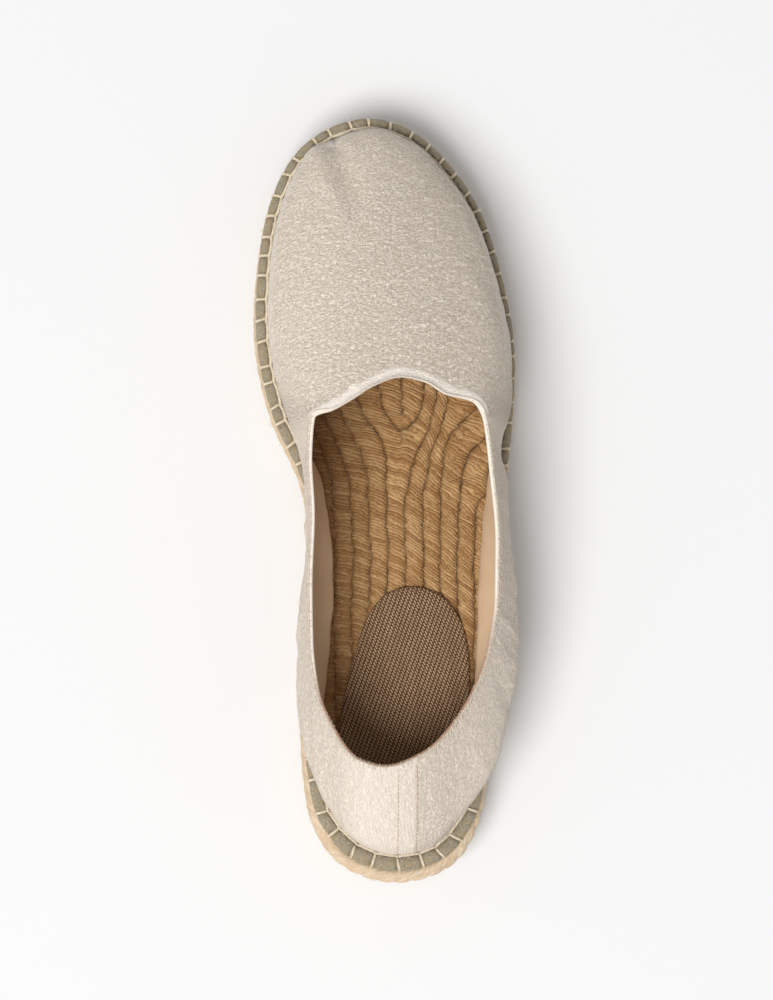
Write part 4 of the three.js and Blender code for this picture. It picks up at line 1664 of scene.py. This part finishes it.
def twisted_thread(name, dark, light, radius_mm, turns_per_mm):
    finish = Finish(name)
    lay = finish.laid_thread(2 * math.pi * turns_per_mm)
    x = finish.part(lay, "X")
    plies = x * (x * x * 4.0 - 3.0)
    fuzz = finish.noise(finish.stretch(lay, (3.0, 3.0, 1.2)), 1.5, 3.0, 0.6)
    tone = (plies * 0.22 + fuzz * 0.8 + 0.1).between(0.2, 0.75)
    colour = finish.blend(tone, tint(dark), tint(light))
    normal = finish.relief(plies * 0.5 + fuzz * 0.4, radius_mm * 0.5)
    return finish.surface(colour, 0.75, normal, 0.1, tint(light))


ecru_twine = twisted_thread("ecru_twine", "#C9B38F", "#F5EAD6", 0.55, 0.35)
cream_thread = twisted_thread("cream_thread", "#C4AE93", "#F8EEDF", 0.2, 0.9)
rose_thread = twisted_thread("rose_thread", "#D0AD92", "#EED8C3", 0.16, 0.9)
print("threads:", [thread.name for thread in (ecru_twine, cream_thread, rose_thread)])

# %% [markdown]
# A blanket stitch comes up outside the band, goes over it and down beside the upper. Each one
# leans a little, as a hand pulls it. The guide holds one point for each stitch, in the middle of
# the band, with the way out, the way up and half the width of the arch.

# %% Blanket stitches over the edge band


def upright(vectors):
    """Level vectors in the plan made three-dimensional."""
    return np.column_stack([vectors, np.zeros(len(vectors))])


def straight_up(count):
    return np.tile([0.0, 0.0, 1.0], (count, 1))


_, stitch_out, stitch_at = station(stitch_shares)
stitch_slant = stitch_rng.normal(0.16, 0.1, STITCHES)
sideways = np.column_stack([-stitch_out[:, 1], stitch_out[:, 0]])
slanted = stitch_out + sideways * stitch_slant[:, None]
blanket_base = footbed(stitch_at) + GAP - BAND_SINK
blanket_width = 0.43 * band_width(stitch_at) + 0.12
blanket_guide = guide_mesh(
    "blanket_stitches",
    rim_point(stitch_shares, bare_rope(stitch_at) + band_width(stitch_at) / 2, blanket_base),
    ahead=upright(slanted),
    up=straight_up(STITCHES),
    wide=blanket_width * MM,
    tall=(BAND_HEIGHT - PINCH + 0.5 + 0.12 * stitch_rng.normal(0, 1, STITCHES)) * MM,
)
blanket = arch.make("blanket_stitches", blanket_guide, ecru_twine)

# %% [markdown]
# At its inner end every blanket stitch loops round the twine that runs along the foot of the
# upper. That twine runs once round the shoe. It is drawn down where a stitch holds it and
# rides up a little in between.

# %% The twine along the foot of the upper
POINTS_PER_STITCH = 9
HOLD_WIDTH = 1.6
TWINE_POINTS = STITCHES * POINTS_PER_STITCH
twine_share = once_round(TWINE_POINTS)
twine_plan, _, twine_at = station(twine_share)
held = np.exp(-((to_stitch(twine_share) / HOLD_WIDTH) ** 2))
twine_inset = bare_rope(twine_at) + band_width(twine_at) - 0.1 - 0.35 * held
twine_height = footbed(twine_at) + GAP - BAND_SINK + BAND_HEIGHT - 0.25 - 0.8 * held
twine_height = twine_height + 0.15 * ripple(twine_plan[:, 0], twine_plan[:, 1], 17, 71)
twine_guide = guide_mesh(
    "foot_twine",
    rim_point(twine_share, twine_inset, twine_height),
    chain(TWINE_POINTS + 1),
    along_mm=twine_share * outline.length,
)
foot_twine = laid.make("foot_twine", twine_guide, ecru_twine)

# %% [markdown]
# The raw edge of the collar is overlocked along the quarters: fine threads that go over the rim
# every millimetre and a half. They stop at the corners of the throat, where the folded hem begins.

# %% Overlock stitches over the collar
OVERLOCK_PITCH = 1.55
OVERLOCK_LEG = 2.7
RIM_MIDDLE = 0.95
overlock_rng = np.random.default_rng(37)
collar_share = np.concatenate([
    np.linspace(SEAM_SHARE + 0.004, OUTER_CORNER - 0.004, FINE_STEPS),
    np.linspace(INNER_CORNER + 0.006, 0.997 + SEAM_SHARE, FINE_STEPS),
])
collar = sweep(collar_share, np.ones(()))
walked = np.append(0, np.cumsum(np.linalg.norm(np.diff(collar, axis=0), axis=1)))
count = int(walked[-1] / OVERLOCK_PITCH)
places = (np.arange(count) + overlock_rng.uniform(-0.2, 0.2, count)) * OVERLOCK_PITCH
overlock_share = np.interp(places, walked, collar_share)
gap_between = (overlock_share > OUTER_CORNER) & (overlock_share < INNER_CORNER)
overlock_share = overlock_share[~gap_between]
count = len(overlock_share)
top_lift = np.full(count, RIM_MIDDLE)
rim_centre, cloth_out = cloth_point(overlock_share, np.ones(count), top_lift)
below, _ = cloth_point(overlock_share, np.full(count, 0.93), top_lift)
climb = rim_centre - below
climb /= np.linalg.norm(climb, axis=1, keepdims=True)
lean = overlock_rng.normal(0.12, 0.12, count)[:, None]
along_rim = np.cross(climb, cloth_out)
overlock_guide = guide_mesh(
    "collar_overlock",
    rim_centre - climb * OVERLOCK_LEG,
    ahead=cloth_out + 0 * climb,
    up=climb + along_rim * lean,
    wide=(0.86 + overlock_rng.uniform(0, 0.08, count)) * MM,
    tall=(OVERLOCK_LEG + 0.46 + overlock_rng.uniform(-0.05, 0.08, count)) * MM,
)
over_rim = {"Thread Radius": 0.17 * MM, "Squareness": 0.3, "Start Turn": 2.6, "End Turn": 0.06}
over_rim.update({"Points": 13, "Sides": 5})
collar_overlock = arch.make("collar_overlock", overlock_guide, cream_thread, **over_rim)
print("overlock stitches:", count)

# %% [markdown]
# The back seam has a row of topstitching on each side. Each stitch is a low arch that leaves the
# cloth and goes in again, so only its crown shows.

# %% Topstitching beside the back seam
TOPSTITCH_PITCH = 2.0
TOPSTITCH_ASIDE = 3.4
TOPSTITCH_LIFT = 0.32
LAPPED_DEPTH = 0.1
PLAIN_DEPTH = 0.22
SEAM_STEPS = 400
seam_rows = np.linspace(-0.75, 0.93, SEAM_STEPS)[:, None]
seam_share = np.linspace(-0.03, 0.05, 160)[None, :]


def seam_points(aside):
    """A line up the back of the heel that stays a set distance aside of the seam."""
    grid, normal = cloth_point(seam_share, seam_rows, np.array(WALL + TOPSTITCH_LIFT))
    away = grid[..., 0] - seam_x(grid[..., 1]) - aside
    near = np.abs(away).argmin(axis=1)
    pick = np.arange(SEAM_STEPS)
    return grid[pick, near], normal[pick, near]


stitch_places, stitch_ahead, stitch_up = [], [], []
for aside in (-TOPSTITCH_ASIDE, TOPSTITCH_ASIDE):
    path_points, path_normals = seam_points(aside)
    smooth = np.linspace(0, 1, len(path_points))
    path_points[:, 0] = np.polyval(np.polyfit(smooth, path_points[:, 0], 4), smooth)
    walked = np.append(0, np.cumsum(np.linalg.norm(np.diff(path_points, axis=0), axis=1)))
    stops = np.arange(0.8, walked[-1], TOPSTITCH_PITCH)
    at_stop = lambda values: np.stack([np.interp(stops, walked, v) for v in values.T], axis=1)
    place = at_stop(path_points)
    ahead = np.gradient(place, axis=0)
    depth = PLAIN_DEPTH if aside < 0 else LAPPED_DEPTH
    stitch_places.append(place - at_stop(path_normals) * depth)
    stitch_ahead.append(ahead / np.linalg.norm(ahead, axis=1, keepdims=True))
    stitch_up.append(at_stop(path_normals))
stitch_places = np.vstack(stitch_places)
seam_guide = guide_mesh(
    "back_seam_stitches",
    stitch_places,
    ahead=np.vstack(stitch_ahead),
    up=np.vstack(stitch_up),
    wide=np.full(len(stitch_places), TOPSTITCH_PITCH * 0.3) * MM,
    tall=np.full(len(stitch_places), 0.25) * MM,
)
low_arch = {"Thread Radius": 0.15 * MM, "Squareness": 0.8, "Start Turn": 3.2, "End Turn": -0.06}
low_arch.update({"Points": 7, "Sides": 6})
back_seam = arch.make("back_seam_stitches", seam_guide, rose_thread, **low_arch)
print("topstitches:", len(stitch_places))

# %% [markdown]
# ## Loose fibres
#
# Jute is never smooth. Short fibres stand up from every bundle, and a few long ones lie across the
# rows. They are scattered over guide surfaces: first the side of the sole and the footbed, later
# the rim of the collar and the band. Each is a bowed three-sided hair, turned and scaled at random
# with a fixed seed. Blender's own hair curves would not outlast an export, and these are meshes.

# %% A tree that scatters bowed hairs over a surface
PER_SQUARE_CM = 1e4
hairs = Pattern(
    "scattered_hairs",
    {
        "Density": 9.0,
        "Shortest": 1.5 * MM,
        "Longest": 6.0 * MM,
        "Thickness": 0.07 * MM,
        "Bow": 0.3,
        "Rise": 0.5,
        "Seed": 3,
    },
)
spread = {"Mesh": hairs.input("Geometry"), "Seed": hairs.input("Seed")}
spread["Density"] = hairs.input("Density") * PER_SQUARE_CM
scatter = hairs.node("GeometryNodeDistributePointsOnFaces", None, spread)
facing = Wire(hairs, scatter.socket.node.outputs["Rotation"])
line = hairs.node("GeometryNodeCurvePrimitiveLine", None, {"End": (1.0, 0.0, 0.0)})
line = hairs.node("GeometryNodeResampleCurve", None, {"Curve": line, "Count": 6})
share = hairs.node("GeometryNodeSplineParameter", output="Factor")
curl = (share * math.pi).sin()
bent = hairs.vector(share, curl * hairs.input("Bow"), curl * hairs.input("Rise"))
bow = hairs.node("GeometryNodeSetPosition", None, {"Geometry": line, "Position": bent})
spin = hairs.vector(0.0, 0.0, hairs.random(0.0, 2 * math.pi, 5))
spin = hairs.node("FunctionNodeEulerToRotation", None, {0: spin})
turned = {"Rotation": facing, "Rotate By": spin}
turned = hairs.node("FunctionNodeRotateRotation", {"rotation_space": "LOCAL"}, turned)
size = hairs.random(hairs.input("Shortest"), hairs.input("Longest"), 6)
bow_scale = size * hairs.random(-1.0, 1.0, 7)
rise_scale = size * hairs.random(0.1, 1.0, 8)
placed = {"Points": scatter, "Instance": bow, "Rotation": turned}
placed["Scale"] = hairs.vector(size, bow_scale, rise_scale)
tufts = hairs.node("GeometryNodeInstanceOnPoints", None, placed)
tufts = hairs.node("GeometryNodeRealizeInstances", None, {"Geometry": tufts})
thick = hairs.input("Thickness")
solid = {"Curve": tufts, "Profile Curve": hairs.ellipse(thick, thick, 3), "Fill Caps": True}
hairs.finish_tree(hairs.node("GeometryNodeCurveToMesh", None, solid))
print("hair tree inputs:", list(hairs.sizes))

# %% A finish for hairs, and a strip that they grow from


def hair_finish(name, dark, light):
    finish = Finish(name)
    shade = finish.noise(finish.stretch(finish.place_mm(), (0.4, 0.4, 0.4)), 1.0, 1.0)
    colour = finish.blend(shade.between(0.35, 0.65), tint(dark), tint(light))
    return finish.surface(colour, 0.7)


def strip_mesh(name, lower, upper, closed=True):
    """A band of quads between two lines of points."""
    count = len(lower)
    last = count if closed else count - 1
    points = (np.vstack([lower, upper]) + SHIFT) * MM
    quads = [(i, (i + 1) % count, count + (i + 1) % count, count + i) for i in range(last)]
    mesh = bpy.data.meshes.new(name)
    mesh.from_pydata(points.tolist(), [], quads)
    return mesh


jute_hair = hair_finish("jute_hair", "#B08D5C", "#EFDDB8")
print("hair finish:", jute_hair.name)

# %% Jute hairs on the side of the sole
SIDE_STEPS = 400
side_share = np.arange(SIDE_STEPS) / SIDE_STEPS
_, _, side_at = station(side_share)
side_low = rim_point(side_share, 0.9, underside(side_at) + 3.0)
side_high = rim_point(side_share, 2.2, footbed(side_at) - 0.3)
side_hairs = strip_mesh("jute_fuzz_side", side_low, side_high)
side = {"Density": 6.0, "Shortest": 0.8 * MM, "Longest": 3.2 * MM, "Thickness": 0.045 * MM}
jute_fuzz = hairs.make("jute_fuzz_side", side_hairs, jute_hair, **side)

# %% Jute hairs on the footbed
BED_MARGIN = 7
bed_y = np.linspace(25, 195, 120)
bed_inner, bed_outer = core_width(bed_y)
bed_z = footbed(bed_y / SOLE_LENGTH) - 0.1
bed_left = np.column_stack([bed_inner + BED_MARGIN, bed_y, bed_z])
bed_right = np.column_stack([bed_outer - BED_MARGIN, bed_y, bed_z])
bed_hairs = strip_mesh("jute_fuzz_footbed", bed_right, bed_left, closed=False)
bed = {"Density": 3.5, "Rise": 0.15, "Longest": 4.5 * MM, "Thickness": 0.05 * MM, "Seed": 9}
footbed_fuzz = hairs.make("jute_fuzz_footbed", bed_hairs, jute_hair, **bed)

# %% [markdown]
# Tiny ends of yarn stick out all round the opening, from the raw edge under the overlock and from
# the folded hem. They are what makes an edge of cloth look soft from near by. The band gets a
# sparser and longer fluff of its own, mostly jute that has rubbed off the rope.

# %% Frayed ends along the collar
FRAY_STEPS = 600
FRAY_RISE = 0.8
rim_share = np.arange(FRAY_STEPS) / FRAY_STEPS
just_below = np.full(FRAY_STEPS, 0.985)
rim_low, _ = cloth_point(rim_share, just_below, np.full(FRAY_STEPS, 1.5))
rim_high, _ = cloth_point(rim_share, np.ones(FRAY_STEPS), np.full(FRAY_STEPS, 0.6))
rim_high[:, 2] += FRAY_RISE
cream_hair = hair_finish("cream_hair", "#DCCBB5", "#FBF4E8")
rim_strip = strip_mesh("cloth_fuzz", rim_low, rim_high)
frays = {"Density": 420.0, "Shortest": 0.4 * MM, "Longest": 1.1 * MM, "Thickness": 0.035 * MM}
cloth_fuzz = hairs.make("cloth_fuzz", rim_strip, cream_hair, Rise=0.4, Seed=21, **frays)

# %% Fluff on the edge band
crown_height = GAP - BAND_SINK + BAND_HEIGHT - 0.9
fluff_low = rim_point(side_share, bare_rope(side_at) + 0.4, footbed(side_at) + crown_height)
fluff_inset = bare_rope(side_at) + band_width(side_at) - 0.3
fluff_high = rim_point(side_share, fluff_inset, footbed(side_at) + crown_height)
fluff_strip = strip_mesh("band_fuzz", fluff_low, fluff_high)
fluff = {"Density": 40.0, "Shortest": 0.8 * MM, "Longest": 2.6 * MM, "Thickness": 0.04 * MM}
band_hair = hair_finish("band_hair", "#8F7650", "#D8C39C")
band_fuzz = hairs.make("band_fuzz", fluff_strip, band_hair, Rise=0.5, Seed=33, **fluff)

# %% [markdown]
# ## The stage
#
# The shoe stands on a plain pale floor. It is one large square, so that no edge of it shows, and a
# matt grey-white that leaves room for the light to brighten it without burning out.

# %% Floor
FLOOR_HALF = 4
floor_mesh = bpy.data.meshes.new("floor")
corners = [(x * FLOOR_HALF, y * FLOOR_HALF, 0) for x, y in ((-1, -1), (1, -1), (1, 1), (-1, 1))]
floor_mesh.from_pydata(corners, [], [(0, 1, 2, 3)])
floor_finish = Finish("floor_paint")
floor_mesh.materials.append(floor_finish.surface(tint("#E2E2E2"), 0.9))
floor = bpy.data.objects.new("floor", floor_mesh)
bpy.context.scene.collection.objects.link(floor)
floor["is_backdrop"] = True
print("floor size in m:", 2 * FLOOR_HALF)

# %% [markdown]
# The camera looks almost straight down from a little to the left, far enough away that the sides
# of the shoe hardly show. It is turned so that the toe points straight up in the view, which a
# Track To constraint can't promise from above.

# %% Camera
EYE = Vector((-0.062, -0.040, 1.300))
AIM_HEIGHT = 0.025
SENSOR_MM = 24
FOCAL_MM = 82.9
AIM = (cad_low + cad_high) / 2
AIM.z = AIM_HEIGHT
lens = bpy.data.cameras.new("camera")
lens.sensor_fit = "VERTICAL"
lens.sensor_height = SENSOR_MM
lens.lens = FOCAL_MM
camera = bpy.data.objects.new("camera", lens)
bpy.context.scene.collection.objects.link(camera)
gaze = (AIM - EYE).normalized()
right = gaze.cross(Vector((0, 1, 0))).normalized()
upward = right.cross(gaze)
camera.matrix_world = Matrix.Translation(EYE) @ Matrix((right, upward, -gaze)).transposed().to_4x4()
bpy.context.scene.camera = camera
print("camera distance in m:", round((AIM - EYE).length, 3))

# %% [markdown]
# One large soft disk of light stands high on the left, towards the heel, and throws a wide pale
# shadow to the right. A white surround fills the shadows from all sides. A smaller lamp would draw
# every slub and hair harder, but a shoe in daylight by a window looks like this.

# %% Lights
KEY_PLACE = Vector((-1.66, -1.75, 4.55))
KEY_SIZE = 2.8
KEY_WATTS = 240
SURROUND_STRENGTH = 0.48
key_data = bpy.data.lights.new("key", "AREA")
key_data.shape = "DISK"
key_data.size = KEY_SIZE
key_data.energy = KEY_WATTS
key = bpy.data.objects.new("key", key_data)
bpy.context.scene.collection.objects.link(key)
towards_shoe = KEY_PLACE.to_track_quat("Z", "Y").to_matrix().to_4x4()
key.matrix_world = Matrix.Translation(KEY_PLACE) @ towards_shoe
world = bpy.data.worlds.new("surround")
bpy.context.scene.world = world
world.use_nodes = True
background = world.node_tree.nodes["Background"]
background.inputs["Color"].default_value = (1.0, 1.0, 1.0, 1.0)
background.inputs["Strength"].default_value = SURROUND_STRENGTH
bpy.context.scene.view_settings.view_transform = "Standard"
print("lights: one soft key and a pale surround")

# %% [markdown]
# Last, the size of the finished shoe is printed, as that of the measured model was at the start, so
# that the two can be compared.

# %% Print the size of the finished shoe
low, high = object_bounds()
print("visual size in mm:", [round((b - a) * 1000, 1) for a, b in zip(low, high)])
